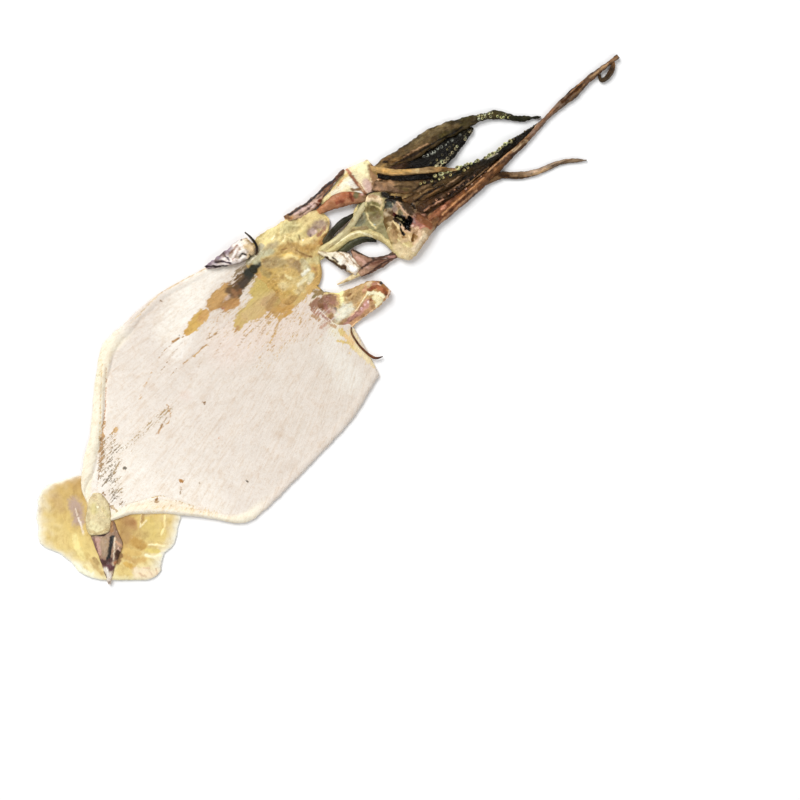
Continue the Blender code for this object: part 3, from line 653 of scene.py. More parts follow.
NECK_MARKS = (
    (((-25.5, -26), (-25.5, -19.5), (-24, -12.5)), 12, (200, 168, 98)),
    (((-18, -18.5), (-13.5, -11)), 9.5, (204, 172, 100)),
    (((-48.5, -10), (-46, -2.5), (-43.5, 7), (-39, 16)), 8.5, (228, 212, 150)),
    (((-41.5, -6.5), (-39, 6), (-33, 17)), 9.5, (226, 208, 146)),
    (((-40.5, 10.5), (-37.5, 16)), 4, (236, 222, 164)),
    (((-43, -5.5), (-42, -17.5)), 3.5, (190, 180, 146)),
    (((-38.5, -1), (-40, -8.5), (-40, -15)), 2.4, (178, 162, 118)),
    (((-38, 1.5), (-39.5, -4)), 3.5, (186, 168, 124), 0.9),
    (((-34, 2), (-31.5, 7), (-27, 10.5), (-22.5, 13)), 4, (192, 160, 98), 0.8, 0.1),
    (((-23, 12), (-21, 17.5), (-20.5, 23)), 5, (192, 156, 92), 0.8, 0.1),
    (((-19, 21.5), (-20, 27)), 3, (176, 130, 74)),
    (((-27.5, 13.5), (-25.5, 18.5)), 3.5, (230, 206, 144), 0.9, 0.2),
    # Painted shade: a dark line in the upper fold's crease
    (((-26.5, 7.5), (-20.5, 9.5), (-17.5, 11.5)), 0.7, (140, 96, 48), 0.9, -0.4),
    (((-33, 2), (-31, 4.5)), 0.6, (176, 134, 80), 0.6, -0.3),
    (((-30, 0), (-26, 4.5), (-20.5, 7.5)), 2.4, (220, 190, 116), 1, 0.2),
    (((-33, -10), (-30.5, -6), (-26.5, -3.5)), 5, (174, 150, 104), 0.9),
    (((-23, -1.5), (-20, 2), (-16, 2)), 5.5, (164, 138, 94), 0.9),
    (((-27.5, -1.5), (-24, 1)), 2.4, (190, 162, 110), 0.8),
    (((-16, 4.5), (-13, 4.5), (-9.5, 3.5)), 4, (216, 200, 150)),
    (((-19, 6), (-14, 13)), 3.5, (206, 190, 134), 0.9),
    (((-17, -12.5), (-14.5, -6.5), (-8, -3)), 5, (222, 206, 154)),
    (((-10, -9.5), (-5, -7.5)), 3.5, (226, 208, 148), 0.9),
    (((-13.5, -3.5), (-11.5, 0.5)), 3, (160, 140, 90), 0.9, -0.2),
    # Painted shade: a brown line below and left of a small painted highlight
    (((-21.5, -11), (-21.5, -7.5)), 1.4, (176, 138, 84), 0.9, -0.2),
    (((-9.5, 7), (-4.5, 5), (-2, 1)), 5, (206, 172, 104)),
    (((-12, 7.5), (-8.5, 7.5)), 1.8, (188, 148, 98), 0.9),
    (((-7, -1), (-2.5, -1.5)), 4, (222, 190, 112)),
    (((0, -1),), 3.5, (96, 84, 40), 1, -0.2),
    # Painted shade: a brownish streak along a groove
    (((-17.5, -28.5), (-14.5, -20.5)), 2.4, (154, 128, 78), 0.9, -0.2),
    (((-10, -20), (-7.5, -15), (-3.5, -11)), 4, (196, 160, 98)),
    (((-32, -19), (-29.5, -25)), 3, (206, 166, 106), 0.9),
    (((-43.5, -10), (-44, -18)), 0.5, (226, 218, 190), 0.9, 0.2),
    (((-41, -7.5), (-41.5, -17.5)), 0.4, (220, 212, 184), 0.9, 0.2),
    # Painted highlights: the next three pale lines and spot
    (((-42, 4.5), (-41.5, 1.5)), 0.6, (250, 238, 196), 0.9, 0.2),
    (((-37.5, 9.5), (-36, 5.5)), 0.5, (244, 230, 180), 0.9, 0.2),
    (((-28, 14.5),), 0.8, (255, 250, 220), 1, 0.2),
    (((-32, 15), (-30, 14)), 0.6, (150, 132, 84), 0.9),
    (((-33.5, 10), (-32, 10)), 0.7, (170, 150, 98), 0.8),
    (((-28.5, 22.5), (-28, 27), (-26.5, 30)), 5, (172, 148, 124), 0.8),
    (((-28, 20.5), (-27.5, 23)), 3, (190, 166, 150)),
    (((-24, 23), (-23.5, 28.5)), 1.8, (170, 128, 92), 0.7),
    (((-27, 20),), 1.2, (140, 120, 112), 0.8, -0.2),
    (((-11, -4), (-11.5, 0.5)), 5.5, (224, 208, 156), 0.9),
    (((-8, -0.5), (-9.5, 3.5)), 3, (232, 222, 178), 0.8),
    (((-5, 2), (-6.5, 6.5), (-9, 10)), 3, (206, 172, 106)),
    (((-1.5, -0.5), (-1.5, 2)), 3, (112, 100, 56), 1, -0.2),
    (((-13, 12), (-13, 17)), 3, (214, 200, 144)),
    (((-36.5, -23), (-36.5, -18), (-37, -14)), 3.5, (60, 58, 44), 1.1),
    (((-36, -27.5), (-36, -23.5)), 4, (90, 76, 48), 0.9),
    (((-33, -15), (-28, -15)), 3.5, (176, 152, 96), 0.8),
    (((-19, 24.5), (-13.5, 23), (-13, 18.5)), 3, (196, 176, 120)),
    (((-40.5, 12.5), (-39, 16)), 5.5, (208, 194, 138), 0.8),
    (((-30, -5.5), (-27.5, 2.5), (-23, 4.5)), 1.8, (228, 206, 146), 0.9, 0.2),
    (((-19, 5.5), (-14, 5.5)), 3, (206, 194, 150), 0.9),
    (((-23.5, -7), (-9.5, -6.5)), 9.5, (206, 178, 112), 0.7),
    (((-34, -9.5), (-28, -3.5)), 5.5, (178, 156, 108), 0.8),
    (((-41, 24.5), (-37.5, 33)), 3.5, (196, 170, 140), 0.6),
    (((-26.5, 24),), 1.8, (228, 204, 186), 0.9, 0.2),
    (((-24.5, 29),), 1.8, (170, 135, 110), 0.9),
    # Painted highlights: the next four pale streaks
    (((-13.5, 0), (-13.5, 4.5)), 2.1, (236, 230, 202), 0.8, 0.2),
    (((-11, -6), (-10.5, -1)), 2.1, (226, 212, 168), 0.8, 0.1),
    (((-7.5, -1), (-4, -1)), 1.8, (230, 214, 176), 0.8, 0.1),
    (((-20.5, -7.5), (-16.5, -6.5)), 1.5, (226, 208, 150), 0.8, 0.1),
    (((-39, -14.5), (-39.5, -9), (-36.5, -3.5)), 3.5, (196, 190, 152), 0.6),
    (((-36.5, -30.5), (-37.5, -23), (-37.5, -18)), 4, (58, 56, 40), 1.1),
    (((-28, -23.5), (-21.5, -22), (-14.5, -18.5)), 4, (206, 172, 108), 0.7),
    (((-8.5, -9.5), (-8.5, -6)), 3, (224, 202, 148), 0.7),
    # Painted shade: brown around the upper fold's crease
    (((-28, 6.5), (-24, 7.5), (-20.5, 9.5)), 3.2, (188, 156, 100), 0.5),
)
CORD_MARKS = (
    (((-37, 14), (-36, 21.5), (-35.5, 31), (-36, 43), (-37, 54)), 1.1, (70, 58, 44), 1, 0.2),
    (((-37, 36), (-34.5, 35.5)), 1.8, (112, 62, 32), 1, -0.2),
    (((-36.5, 39), (-37, 42)), 1.8, (186, 120, 70), 0.8),
    (((-38.5, 33.5),), 2.4, (230, 204, 188), 0.9, 0.3),
    (((-42, 19.5),), 1.8, (200, 150, 95), 0.9, 0.2),
    (((-37.5, 38.5),), 2.1, (130, 64, 28), 1, -0.3),
    (((-41.5, 25.5), (-41.5, 30)), 1, (130, 105, 90), 0.8, -0.2),
    (((-39, 30.5), (-38.5, 35.5)), 0.8, (148, 118, 100), 0.8, -0.2),
    (((-39.5, 38.5), (-39.5, 45.5)), 0.8, (140, 112, 94), 0.8, -0.2),
    (((-45, 18.5), (-45.5, 21)), 1.2, (110, 80, 50), 1, 0.2),
    (((-47, 17), (-43.5, 18)), 1.8, (150, 116, 84), 0.9),
    (((-44.4, 20), (-42, 33), (-40.6, 54)), 1.4, (64, 50, 46), 1, 0.1),
    (((-42.5, 22), (-39.5, 35)), 1, (206, 178, 164), 0.8, 0.3),
    (((-40, 24), (-39, 31)), 0.7, (110, 86, 74), 0.9, -0.4),
)
FLARE_MARKS = (
    (((-37, 47), (-37.5, 55), (-37, 62.5)), 2.4, (234, 210, 146)),
    (((-35, 47.5), (-34, 62)), 3.5, (246, 238, 204)),
    (((-31.5, 59.5), (-24.5, 59.5)), 4, (248, 243, 224), 1, -0.3),
    (((-36, 68.5), (-31.5, 71.5)), 6, (252, 243, 192)),
    (((-26.5, 66), (-21.5, 64)), 4, (218, 190, 166)),
    (((-40, 63), (-36.5, 63)), 1.4, (190, 134, 100), 0.9, 0.2),
    (((-37.5, 58.5), (-36.5, 52.5)), 0.6, (212, 158, 104), 0.8, 0.2),
    (((-34, 63.5),), 0.7, (80, 54, 34), 1, -0.3),
    (((-26.5, 71.5), (-19.5, 63)), 0.7, (238, 216, 190), 0.9, 0.4),
    (((-30, 75.5), (-25.5, 72), (-19.5, 66)), 5, (166, 130, 90), 1, -0.2),
    (((-24.5, 66), (-19, 63.5)), 3, (208, 178, 158), 0.9),
    (((-35.5, 62.5), (-21.5, 61)), 1.8, (150, 104, 74), 1, 0.3),
    (((-28.5, 62), (-23.5, 61)), 0.6, (208, 172, 132), 1, 0.3),
    (((-29, 57), (-25.5, 60.5)), 1.5, (150, 118, 78), 0.9, -0.2),
)
MUSCLE_MARKS = (
    (((-30.5, 46.5), (-29, 52), (-26, 54)), 3.5, (180, 116, 78)),
    (((-29.5, 44.5), (-27.5, 48.5)), 1.8, (152, 88, 58)),
    (((-29, 55), (-24, 52.5)), 1.8, (146, 80, 50), 1, -0.2),
    (((-26, 58), (-24, 56)), 3, (124, 114, 76)),
    (((-22.5, 59),), 1.8, (204, 166, 150)),
    (((-32.5, 51), (-30.5, 54)), 0.8, (202, 140, 100), 0.9, 0.2),
)
EYE_MARKS = (
    (((-19, 54), (-16.5, 51.5)), 3.5, (118, 114, 74), 1, -0.5),
    (((-14, 49.5), (-12, 46)), 4, (142, 144, 122), 1, -0.5),
    (((-10.5, 48.5), (-11.5, 44)), 3, (136, 134, 104), 1, -0.3),
    (((-12.5, 59), (-9, 57.5)), 5.5, (138, 128, 78), 1, -0.5),
    (((-7.5, 58), (-5, 56)), 2.4, (154, 140, 98), 1, -0.2),
    (((-9.5, 53.5), (-5, 53.5)), 2.4, (160, 146, 104), 1, -0.2),
    (((-20.5, 57.5), (-17.5, 61.5), (-12.5, 64)), 3, (234, 210, 166), 1, 0.8),
    # Painted highlight on the pale top band
    (((-16.5, 63), (-14.5, 64.5)), 1.3, (250, 230, 196), 1, 0.4),
    (((-21, 53), (-18.5, 49.5), (-16.5, 44), (-13.5, 39.5)), 1.8, (214, 198, 142), 1, 0.6),
    (((-17, 57), (-12.5, 53), (-8.5, 51), (-2.5, 50.5)), 1, (222, 206, 152), 1, 0.6),
    (((-14.5, 58.5), (-10.5, 60.5), (-8, 60.5)), 0.7, (206, 190, 136), 1, 0.4),
    (((-2.5, 50.5), (-3, 58)), 0.8, (190, 170, 122), 0.5, 0.2),
    (((-11.5, 65), (-9, 63), (-8, 60.5)), 1.2, (200, 178, 128), 1, 0.5),
    (((-12.5, 40.5), (-8.5, 44), (-4, 47), (0.5, 48)), 1.8, (222, 206, 142), 1, 0.4),
    (((-11, 40), (-7.5, 42.5)), 1, (166, 146, 92), 1, -0.2),
    (((-6, 44.5), (-4, 45.5)), 0.8, (160, 140, 86), 1, -0.2),
    (((-4.5, 51.5),), 1, (190, 192, 172)),
    # Painted shadow: the dark band under the arms
    (((-13.5, 68), (-9, 70)), 3.5, (40, 30, 18), 1, -0.8),
    (((-14.5, 54.5), (-11.5, 58)), 3.5, (128, 112, 66), 0.9, -0.2),
    (((-6, 56),), 3, (143, 124, 85), 0.9),
    (((-16, 49.5), (-13, 49.5)), 3, (146, 138, 106), 0.9),
    (((-15.5, 43.5),), 2.4, (169, 154, 113), 0.8),
    (((-24.5, 50.5), (-21, 57.5)), 2.4, (224, 206, 164), 0.9, 0.3),
    (((-18.5, 58), (-15, 63.5), (-11, 63.5)), 1.8, (230, 208, 168), 0.9, 0.4),
    (((-11.5, 40), (-6.5, 46.5)), 2.5, (158, 138, 96), 0.9),
    (((-18.5, 61.5), (-15.5, 63.5)), 2.1, (178, 150, 114), 0.9),
)
HEAD_MARKS = (
    (((11, 49.5), (16, 52.5), (20.5, 57.5)), 8, (214, 196, 138)),
    (((10, 57), (16, 61)), 6, (204, 172, 122)),
    (((6, 51), (11, 54.5)), 5, (206, 182, 126)),
    (((3, 54), (6.5, 55.5)), 5, (196, 172, 120), 1, 0.1),
    (((4.5, 59), (9, 56)), 3, (150, 120, 76), 1, -0.3),
    (((-2.5, 54.5), (1, 55.5)), 4, (134, 112, 66), 1, -0.3),
    (((10, 69), (14, 70)), 5.5, (168, 116, 98)),
    (((10, 73), (14, 77)), 3.5, (104, 66, 42), 1, -0.2),
    (((16, 73), (20.5, 74)), 3, (172, 98, 66), 1, 0.1),
    (((7, 77.5), (11, 78)), 5, (84, 62, 34), 1, -0.2),
    (((11.5, 77.5), (13, 83)), 3.5, (170, 126, 102), 1, 0.3),
    (((6.5, 76), (7, 79.5)), 1, (122, 88, 58), 1, 0.2),
    (((-0.5, 72.5), (2.5, 73)), 4, (84, 72, 54)),
    (((0, 77), (3, 75.5), (6, 75.5)), 1.8, (48, 33, 14), 1, -0.6),
    # Painted shadow: the next two rows, the black band under the arms
    (((-11.5, 67.5), (-6.5, 72.5), (-0.5, 77.5)), 2.4, (16, 8, 4), 1, -1.2),
    (((-3, 73), (0.5, 75.5)), 2.5, (24, 14, 8), 1, -0.8),
    (((-9.5, 64.5), (-6.5, 61)), 0.8, (42, 28, 10), 1, -0.4),
    (((-7.5, 64), (-5.5, 69)), 3.5, (70, 68, 56), 1, -0.2),
    (((-5.5, 64), (-4, 66)), 2.1, (106, 102, 82)),
    (((-2, 65.5), (-3, 67.5)), 3, (152, 130, 110), 1, 0.3),
    (((-2, 69), (-1.5, 69)), 1.4, (156, 124, 88), 1, 0.3),
    (((1, 67.5), (2.5, 67)), 2.2, (130, 120, 88)),
    (((4, 67), (5, 67.5)), 1.2, (134, 118, 108)),
    (((-4, 61), (-4, 63)), 3, (192, 174, 140), 1, 0.3),
    (((-5, 67.5),), 1.2, (178, 162, 130), 1, 0.5),
    # Painted highlight along the edge of the grey flap
    (((-4, 70), (-3.5, 70.5), (2, 69.5), (5, 69.5), (7, 70)), 0.9, (206, 174, 142), 1, 0.8),
    (((-2, 63.5), (2, 64)), 2.3, (88, 22, 6), 1, -0.8),
    (((2, 62), (3.5, 62)), 1.8, (92, 70, 32), 1, -0.4),
    (((2, 64), (4.5, 65), (8, 65.5)), 2.4, (6, 3, 2), 1, -2.2),
    (((7.5, 69), (9.5, 69), (10.5, 67), (9, 65)), 1.8, (8, 5, 3), 1, -2.2),
    (((7.5, 64.5), (11, 63.5)), 2.4, (8, 5, 3), 1, -2.2),
    (((11, 62.5), (13, 64.5)), 1, (14, 8, 4), 1, -1.4),
    # Painted glint beside the black hole
    (((4.5, 63), (6.5, 62)), 0.7, (196, 196, 178), 1, 0.2),
    (((6.5, 62.5), (9, 60.5), (11, 59.5)), 0.8, (28, 17, 8), 1, -1.2),
    (((11, 59.5), (12.5, 59.5)), 1.3, (40, 24, 8), 1, -0.8),
    # Painted highlight along a raised ridge
    (((0, 61), (8, 60)), 0.9, (216, 194, 144), 1, 0.7),
    # Painted highlight: a cream curve beside the black hole
    (((8, 62), (11, 62), (13.5, 63), (14.5, 65)), 1.4, (210, 178, 142), 1, 0.5),
    (((12.5, 65.5), (12.5, 67)), 1.3, (224, 188, 164), 1, 0.4),
    (((13, 58), (15.5, 59)), 1.2, (168, 132, 84), 1, -0.3),
    (((15, 61), (18, 59.5)), 1, (234, 206, 154), 1, 0.6),
    (((16, 65), (18.5, 60.5)), 1.3, (132, 94, 38), 1, -0.6),
    (((16, 67), (20.5, 65.5), (21.5, 60.5)), 3.5, (216, 184, 146), 1, 0.3),
    (((19.5, 69), (22, 65)), 1.4, (232, 206, 164), 1, 0.3),
    (((17.5, 63.5), (16.5, 67.5)), 0.5, (180, 140, 98), 1, -0.2),
    (((6.5, 72.5), (9.5, 72.5)), 0.7, (152, 118, 98), 1, 0.3),
    (((9.5, 70.5), (12, 69)), 1, (150, 120, 110), 1, 0.2),
    (((16.5, 69), (17.5, 71.5)), 1.2, (196, 142, 118), 1, 0.2),
    # Painted highlight at the arm's base
    (((9, 79), (9, 83)), 0.7, (208, 168, 140), 1, 0.3),
    # Painted highlight: a pale line
    (((3, 56), (4, 52)), 0.7, (226, 202, 150), 1, 0.5),
    (((10, 50.5), (13, 52.5)), 1.1, (160, 136, 84), 1, -0.3),
    (((12, 55), (16.5, 55.5), (20, 56.5)), 0.6, (232, 216, 160), 1, 0.4),
    (((13.5, 52), (17.5, 52.5)), 1.8, (218, 204, 146), 1, 0.2),
    # Painted shadow: a wider dark band under the arms
    (((-10.5, 66.5), (-6.5, 71.5), (-0.5, 76)), 3, (36, 28, 16), 1, -0.8),
    (((0, 74), (6, 72)), 3.5, (78, 58, 34), 1, -0.3),
    (((-7.5, 66), (-5, 66)), 2.1, (84, 88, 74), 1, -0.2),
    (((-2, 56.5), (1.5, 54.5)), 3, (132, 106, 62), 1, -0.2),
    (((-3, 61.5), (-1.5, 60.5)), 1.8, (190, 168, 134), 1, 0.3),
    (((3.5, 65), (9.5, 66.5)), 3.5, (8, 5, 3), 1, -2),
    (((10.5, 65), (12.5, 64.5)), 2.4, (8, 5, 3), 1, -2),
    # Painted highlight: a light spot in the black hole
    (((6.5, 67.5),), 1, (150, 122, 92), 1, 0.3),
    (((12, 73), (20, 75)), 3.5, (142, 94, 60)),
    (((13.5, 65.5), (16, 65.5)), 2.4, (182, 150, 112), 1, 0.1),
    (((18.5, 63.5),), 2.4, (152, 118, 68), 0.9, -0.3),
    (((16.5, 52), (20.5, 55)), 3.5, (214, 190, 144), 0.7, 0.1),
    (((6, 56), (10, 55)), 2.4, (176, 144, 98), 0.8),
    (((10, 57), (13.5, 57)), 0.8, (214, 188, 136), 0.9, 0.3),
    (((13.5, 52), (19.5, 52.5), (22, 57)), 4, (216, 194, 148), 0.7),
    (((14.5, 56), (16.5, 60)), 2.4, (212, 186, 142), 0.7, 0.2),
    (((6, 52.5), (12, 53.5)), 2.4, (196, 166, 118), 0.7),
    (((19.5, 51), (24, 53)), 5, (228, 208, 162), 0.7),
    (((15, 53.5), (14.5, 49.5)), 3, (220, 198, 152), 0.6),
    (((22, 68), (23, 57.5)), 3, (230, 210, 172), 0.9),
    (((-2, 58), (0, 61)), 3.5, (120, 94, 56), 0.9, -0.3),
    (((2, 62.5), (4.5, 62.5)), 2.1, (66, 50, 32), 1, -0.3),
    (((-5, 62.5), (-2, 63.5)), 2.4, (126, 104, 72), 0.8),
)
ARC_MARKS = (
    (((-16.5, 19), (-12.5, 28.5), (-10.5, 37), (-7.5, 42.5), (-0.5, 45.5)), 1, (232, 222, 180), 0.8, 0.3),
)
BRIDGE_MARKS = (
    (((-1.5, 33.5), (5, 36), (10.5, 37), (14.5, 42), (16.5, 48)), 1.1, (66, 48, 34), 1, 0.3),
    (((10.5, 38), (14.5, 42.5)), 0.5, (176, 156, 140), 1, 0.2),
    (((2.5, 30.5), (7.5, 32.5)), 4, (172, 134, 108), 1, 0.2),
    (((8, 32.5), (13, 35.5)), 2.4, (160, 120, 94)),
    # Painted glint on the bridge
    (((8.5, 30),), 1.8, (198, 160, 136), 0.8, 0.2),
    (((17, 46.5),), 1.6, (152, 112, 98)),
    (((17.5, 45), (15.5, 39.5), (13, 24)), 1, (84, 56, 42)),
    (((11, 34), (14, 39.5)), 1.2, (126, 84, 62)),
    (((-3.5, 31.5), (1.5, 33), (7, 36), (10.5, 41)), 0.8, (74, 58, 38), 1, -0.3),
    (((2, 30), (6.5, 31.5), (11, 30.5)), 1.8, (196, 158, 136), 0.8, 0.3),
    (((8.5, 28), (10, 35), (13, 42)), 1.2, (92, 64, 48), 1, -0.2),
    (((8, 37), (12.5, 42.5), (15, 46.5)), 1.2, (84, 66, 52), 0.9, 0.2),
    (((15, 44), (17.5, 46.5)), 1.2, (170, 128, 112), 0.9, 0.2),
)
PAPERY_MARKS = (
    (((-5.5, 18.5), (-1, 18.5)), 2.4, (226, 208, 150), 0.8),
    (((2.5, 22), (6.5, 24.5)), 3, (250, 244, 226), 1, 0.2),
    (((9, 22), (13, 22.5)), 1.8, (250, 240, 220), 1, 0.2),
    (((4.5, 21), (7.5, 20.5)), 0.8, (206, 176, 130), 0.9, -0.4),
    (((-8, 20), (-4, 20)), 0.7, (70, 46, 26), 1, -0.5),
    (((-1.5, 27.5), (2.5, 26.5), (7, 27)), 0.7, (198, 172, 140), 0.9, -0.3),
    (((-8.5, 24.5), (-4.5, 25.5), (0, 24.5)), 0.6, (214, 190, 150), 0.9, -0.4),
    (((-5, 28), (1.5, 30), (7.5, 28)), 0.5, (126, 96, 70), 0.8, 0.2),
    # Painted shade along the fold's lower edge
    (((-11, 17), (-4, 18.5), (0.5, 19)), 1.6, (92, 72, 46), 1, -0.3),
    (((0.5, 20.5), (2.5, 19)), 3, (98, 66, 30), 1, -0.3),
)
FLAP_MARKS = (
    (((1, 1.5), (3, 2), (8, 8.5), (9.5, 13)), 0.6, (72, 68, 46), 1, 0.2),
    (((-0.5, -4), (1.5, 1)), 2.4, (108, 98, 56)),
    # Painted highlight along the top-left edge of the pinkish patch
    (((2, -8), (2.5, -1)), 1.6, (236, 226, 206), 1, 0.1),
    (((4.5, 2), (8.5, 6.5), (10.5, 10)), 1.3, (236, 222, 152), 1, 0.4),
    (((10.5, 9), (15.5, 4)), 2.5, (238, 228, 170), 1, 0.5),
    (((4.5, -9), (6.5, 0), (9, 3)), 4, (152, 110, 94), 1, -0.1),
    (((6.5, 1), (9.5, 3)), 2.4, (138, 100, 80), 1, -0.1),
    (((8, -10.5), (8.5, -7.5)), 3, (176, 130, 104), 0.8, -0.1),
    (((16.5, -16), (16.5, -11), (17.5, -5.5)), 3, (196, 156, 130), 0.8, -0.1),
    # Painted highlight: a pinkish-white spot
    (((15.5, -11), (16, -12)), 1.3, (236, 208, 202), 1, 0.2),
    (((13, -8), (13.5, -2.5)), 1.1, (238, 208, 178), 1, 0.4),
    (((14.5, -0.5), (16.5, -2)), 1.6, (112, 94, 92), 1, -0.2),
    (((20, -1), (19.5, 4.5)), 7.5, (218, 212, 186), 1, 0.4),
    (((18, 8), (20, 7.5)), 2.4, (222, 216, 184), 1, 0.2),
    (((23, -5), (24, -3)), 1.8, (188, 176, 128)),
    (((15, 10), (17, 15.5), (18, 21)), 5.5, (202, 170, 116)),
    (((20, 10.5), (20.5, 14.5)), 3.5, (204, 174, 124)),
    (((14.5, 10), (15, 12.5)), 0.7, (160, 122, 76), 0.9, -0.3),
    (((17, 13), (17.5, 10)), 0.6, (176, 138, 90), 0.8, -0.2),
    (((14.5, 9), (17, 7.5)), 1.2, (206, 182, 136), 0.9),
    (((19.5, 18.5), (18.5, 21.5)), 1.8, (212, 166, 124)),
    (((18.5, 23.5), (18.5, 25.5)), 2.4, (224, 200, 160), 1, 0.2),
    (((20.5, 26), (21, 27.5)), 1.8, (190, 140, 112)),
    (((22, 19), (25.5, 0.5)), 0.6, (248, 224, 180), 1, 0.6),
    (((26, 16.5), (26.5, 2.5), (25, -3)), 4, (200, 152, 132)),
    (((27, 6), (26.5, 0.5)), 0.7, (176, 128, 112), 0.8, -0.2),
    # Painted glints: the next three spots on the pink strip
    (((26, 16.5),), 1.8, (244, 226, 216), 1, 0.3),
    (((25.5, 10.5),), 1.4, (236, 200, 194), 1, 0.2),
    (((25.5, 13.5),), 1, (226, 184, 174), 1, 0.1),
    (((26, 18), (26.5, 19.5)), 1.7, (160, 100, 48), 1, -0.4),
    (((30.5, 17), (28, 3), (27.5, -2.5)), 2, (206, 162, 118)),
    (((31.5, 18), (28.5, -3), (25, -7)), 0.5, (238, 204, 158), 1, 0.3),
    (((21, 21.5), (22, 24.5), (23.5, 27)), 2, (150, 88, 52), 1, 0.2),
    (((25, 27), (27.5, 27.5)), 3.5, (182, 118, 78), 1, 0.1),
    (((27.5, 28), (30, 27.5)), 1.8, (150, 92, 54)),
    (((30.5, 26.5),), 1.9, (124, 74, 38), 1, -0.3),
    (((23, 29.5), (23, 31.5)), 2, (58, 42, 28), 1, 0.4),
    (((20.5, 29),), 1, (70, 50, 36), 1, 0.3),
    (((22.5, 28), (24, 28.5)), 0.7, (226, 190, 160), 1, 0.3),
    (((22, 19.5), (24, 22), (27, 24), (30, 25)), 2, (244, 234, 192), 1, 0.3),
    (((27, 21), (30, 22)), 3, (236, 224, 176), 1, 0.1),
    (((30.5, 20), (30.5, 18)), 1.8, (240, 228, 180), 1, 0.1),
    (((29.5, 30), (31, 28.5), (32, 25)), 0.8, (236, 204, 172), 1, 0.2),
    (((10, -1.5), (15, -2.5)), 3, (208, 182, 160)),
    (((10.5, -4.5), (11, -8.5)), 1.8, (226, 208, 190), 1, 0.2),
    (((3.5, -6.5), (8, 1.5)), 5, (148, 114, 84), 1, -0.1),
    (((7, -8), (9, -4)), 4, (150, 110, 78), 1, -0.1),
    (((10.5, -0.5), (9, 3)), 2.4, (160, 122, 80)),
    (((12, -6.5), (12, -2)), 2.4, (188, 156, 122), 0.9, 0.1),
    (((16, -7.5), (16, -5)), 2.4, (164, 128, 90), 0.9),
    (((12, -10.5), (16.5, -9.5)), 3, (204, 174, 146), 0.9, 0.1),
    (((17, -14.5), (17.5, -11.5)), 1.8, (188, 153, 129), 0.9),
    # Painted highlights: the next two pale brushed lines
    (((3, -4.5), (3.5, -1.5)), 0.7, (226, 212, 200), 0.9, 0.1),
    (((5, -10), (9, -10)), 0.8, (222, 200, 184), 0.8, 0.1),
    (((23.5, -1), (23.5, -6)), 1.8, (186, 150, 108), 0.9),
    (((12.5, 24), (15.5, 24)), 1.8, (137, 110, 86), 1, -0.1),
    (((27, 17), (30, 16)), 2.4, (198, 158, 112)),
    (((7.5, 0), (11.5, 1.5)), 4, (172, 128, 108), 0.55),
    (((8.5, -3.5), (13, -4.5)), 2.4, (166, 120, 106), 0.55),
    (((17.5, -9), (18.5, -1)), 0.6, (222, 206, 190), 0.8, 0.1),
    (((11, -10), (12.5, -2.5)), 0.5, (214, 192, 176), 0.8, 0.1),
)
WEB_MARKS = (
    (((-32, 81), (-31.5, 73)), 8.5, (246, 234, 176)),
    (((-22, 74), (-19, 67)), 5, (196, 150, 118), 0.8),
    (((-27, 79.5), (-24, 77.5)), 1.8, (90, 60, 36), 0.8, -0.3),
    (((-27.5, 72), (-21.5, 68)), 5.5, (222, 196, 170)),
    (((-18, 68), (-13.5, 67)), 3, (190, 160, 130)),
    # Painted shadow in the gap between the short tentacle and the fringed arm
    (((-23.5, 73.5), (-17.5, 77.5), (-7.5, 88)), 3, (30, 18, 8), 1, -0.8),
)
BLADE_MARKS = (
    # Painted highlight: part of the lighter pinkish-brown streak along the blade
    (((-28, 83), (-24.5, 88), (-22.5, 94.5)), 2.4, (134, 106, 72), 1, 0.1),
    (((-23.5, 88.5), (-21.5, 97), (-17.5, 110)), 3.5, (114, 96, 68), 1, 0.2),
    # Painted highlight: a pale line on that streak
    (((-20.5, 92.5), (-18.5, 100.5), (-16, 108)), 0.7, (190, 156, 128), 0.8, 0.2),
    (((-23, 104), (-21.5, 110.5), (-16, 123.5)), 4, (136, 120, 90), 0.9),
    (((-13.5, 116.5), (-12, 125), (-9.5, 132.5)), 2.4, (92, 82, 48)),
    (((-29, 84), (-24.5, 105), (-23.5, 112.5)), 0.7, (52, 52, 34)),
    (((-27, 82), (-21.5, 87), (-18.5, 94), (-16, 102)), 1.3, (64, 46, 26), 1, -0.2),
    (((-16, 102), (-13.5, 112.5), (-10.5, 122), (-8.5, 130)), 0.8, (34, 28, 12), 1, -0.3),
    (((-13.5, 131.5), (-10.5, 137), (-7, 142)), 1.8, (84, 78, 50)),
    # Painted highlight: part of the lighter pinkish-brown streak along the blade
    (((-24, 85), (-22, 91)), 2.4, (144, 116, 78), 0.9),
    (((-14.5, 122.5), (-11, 129)), 2.4, (124, 106, 76), 0.8),
)
SUCKERED_MARKS = (
    (((-15.5, 92.5), (-13, 107), (-6, 132.5)), 1, (14, 10, 6), 0.9, -0.6),
)
SHORT_MARKS = (
    (((-27.5, 76), (-23, 78), (-17.5, 83), (-12, 89.5)), 1.8, (208, 174, 122)),
    # Painted highlight along the short tentacle
    (((-27.5, 77.5), (-22.5, 81), (-17, 86)), 0.6, (212, 186, 142), 0.9, 0.2),
    (((-10.5, 94), (-8.5, 92)), 1.3, (212, 190, 150), 1, 0.1),
    (((-7.5, 95), (-3, 100.5)), 2.4, (178, 150, 114)),
    (((-2, 101), (2, 105.5)), 2.4, (172, 140, 100)),
    (((4.5, 108), (7, 111)), 1.2, (150, 116, 90)),
)
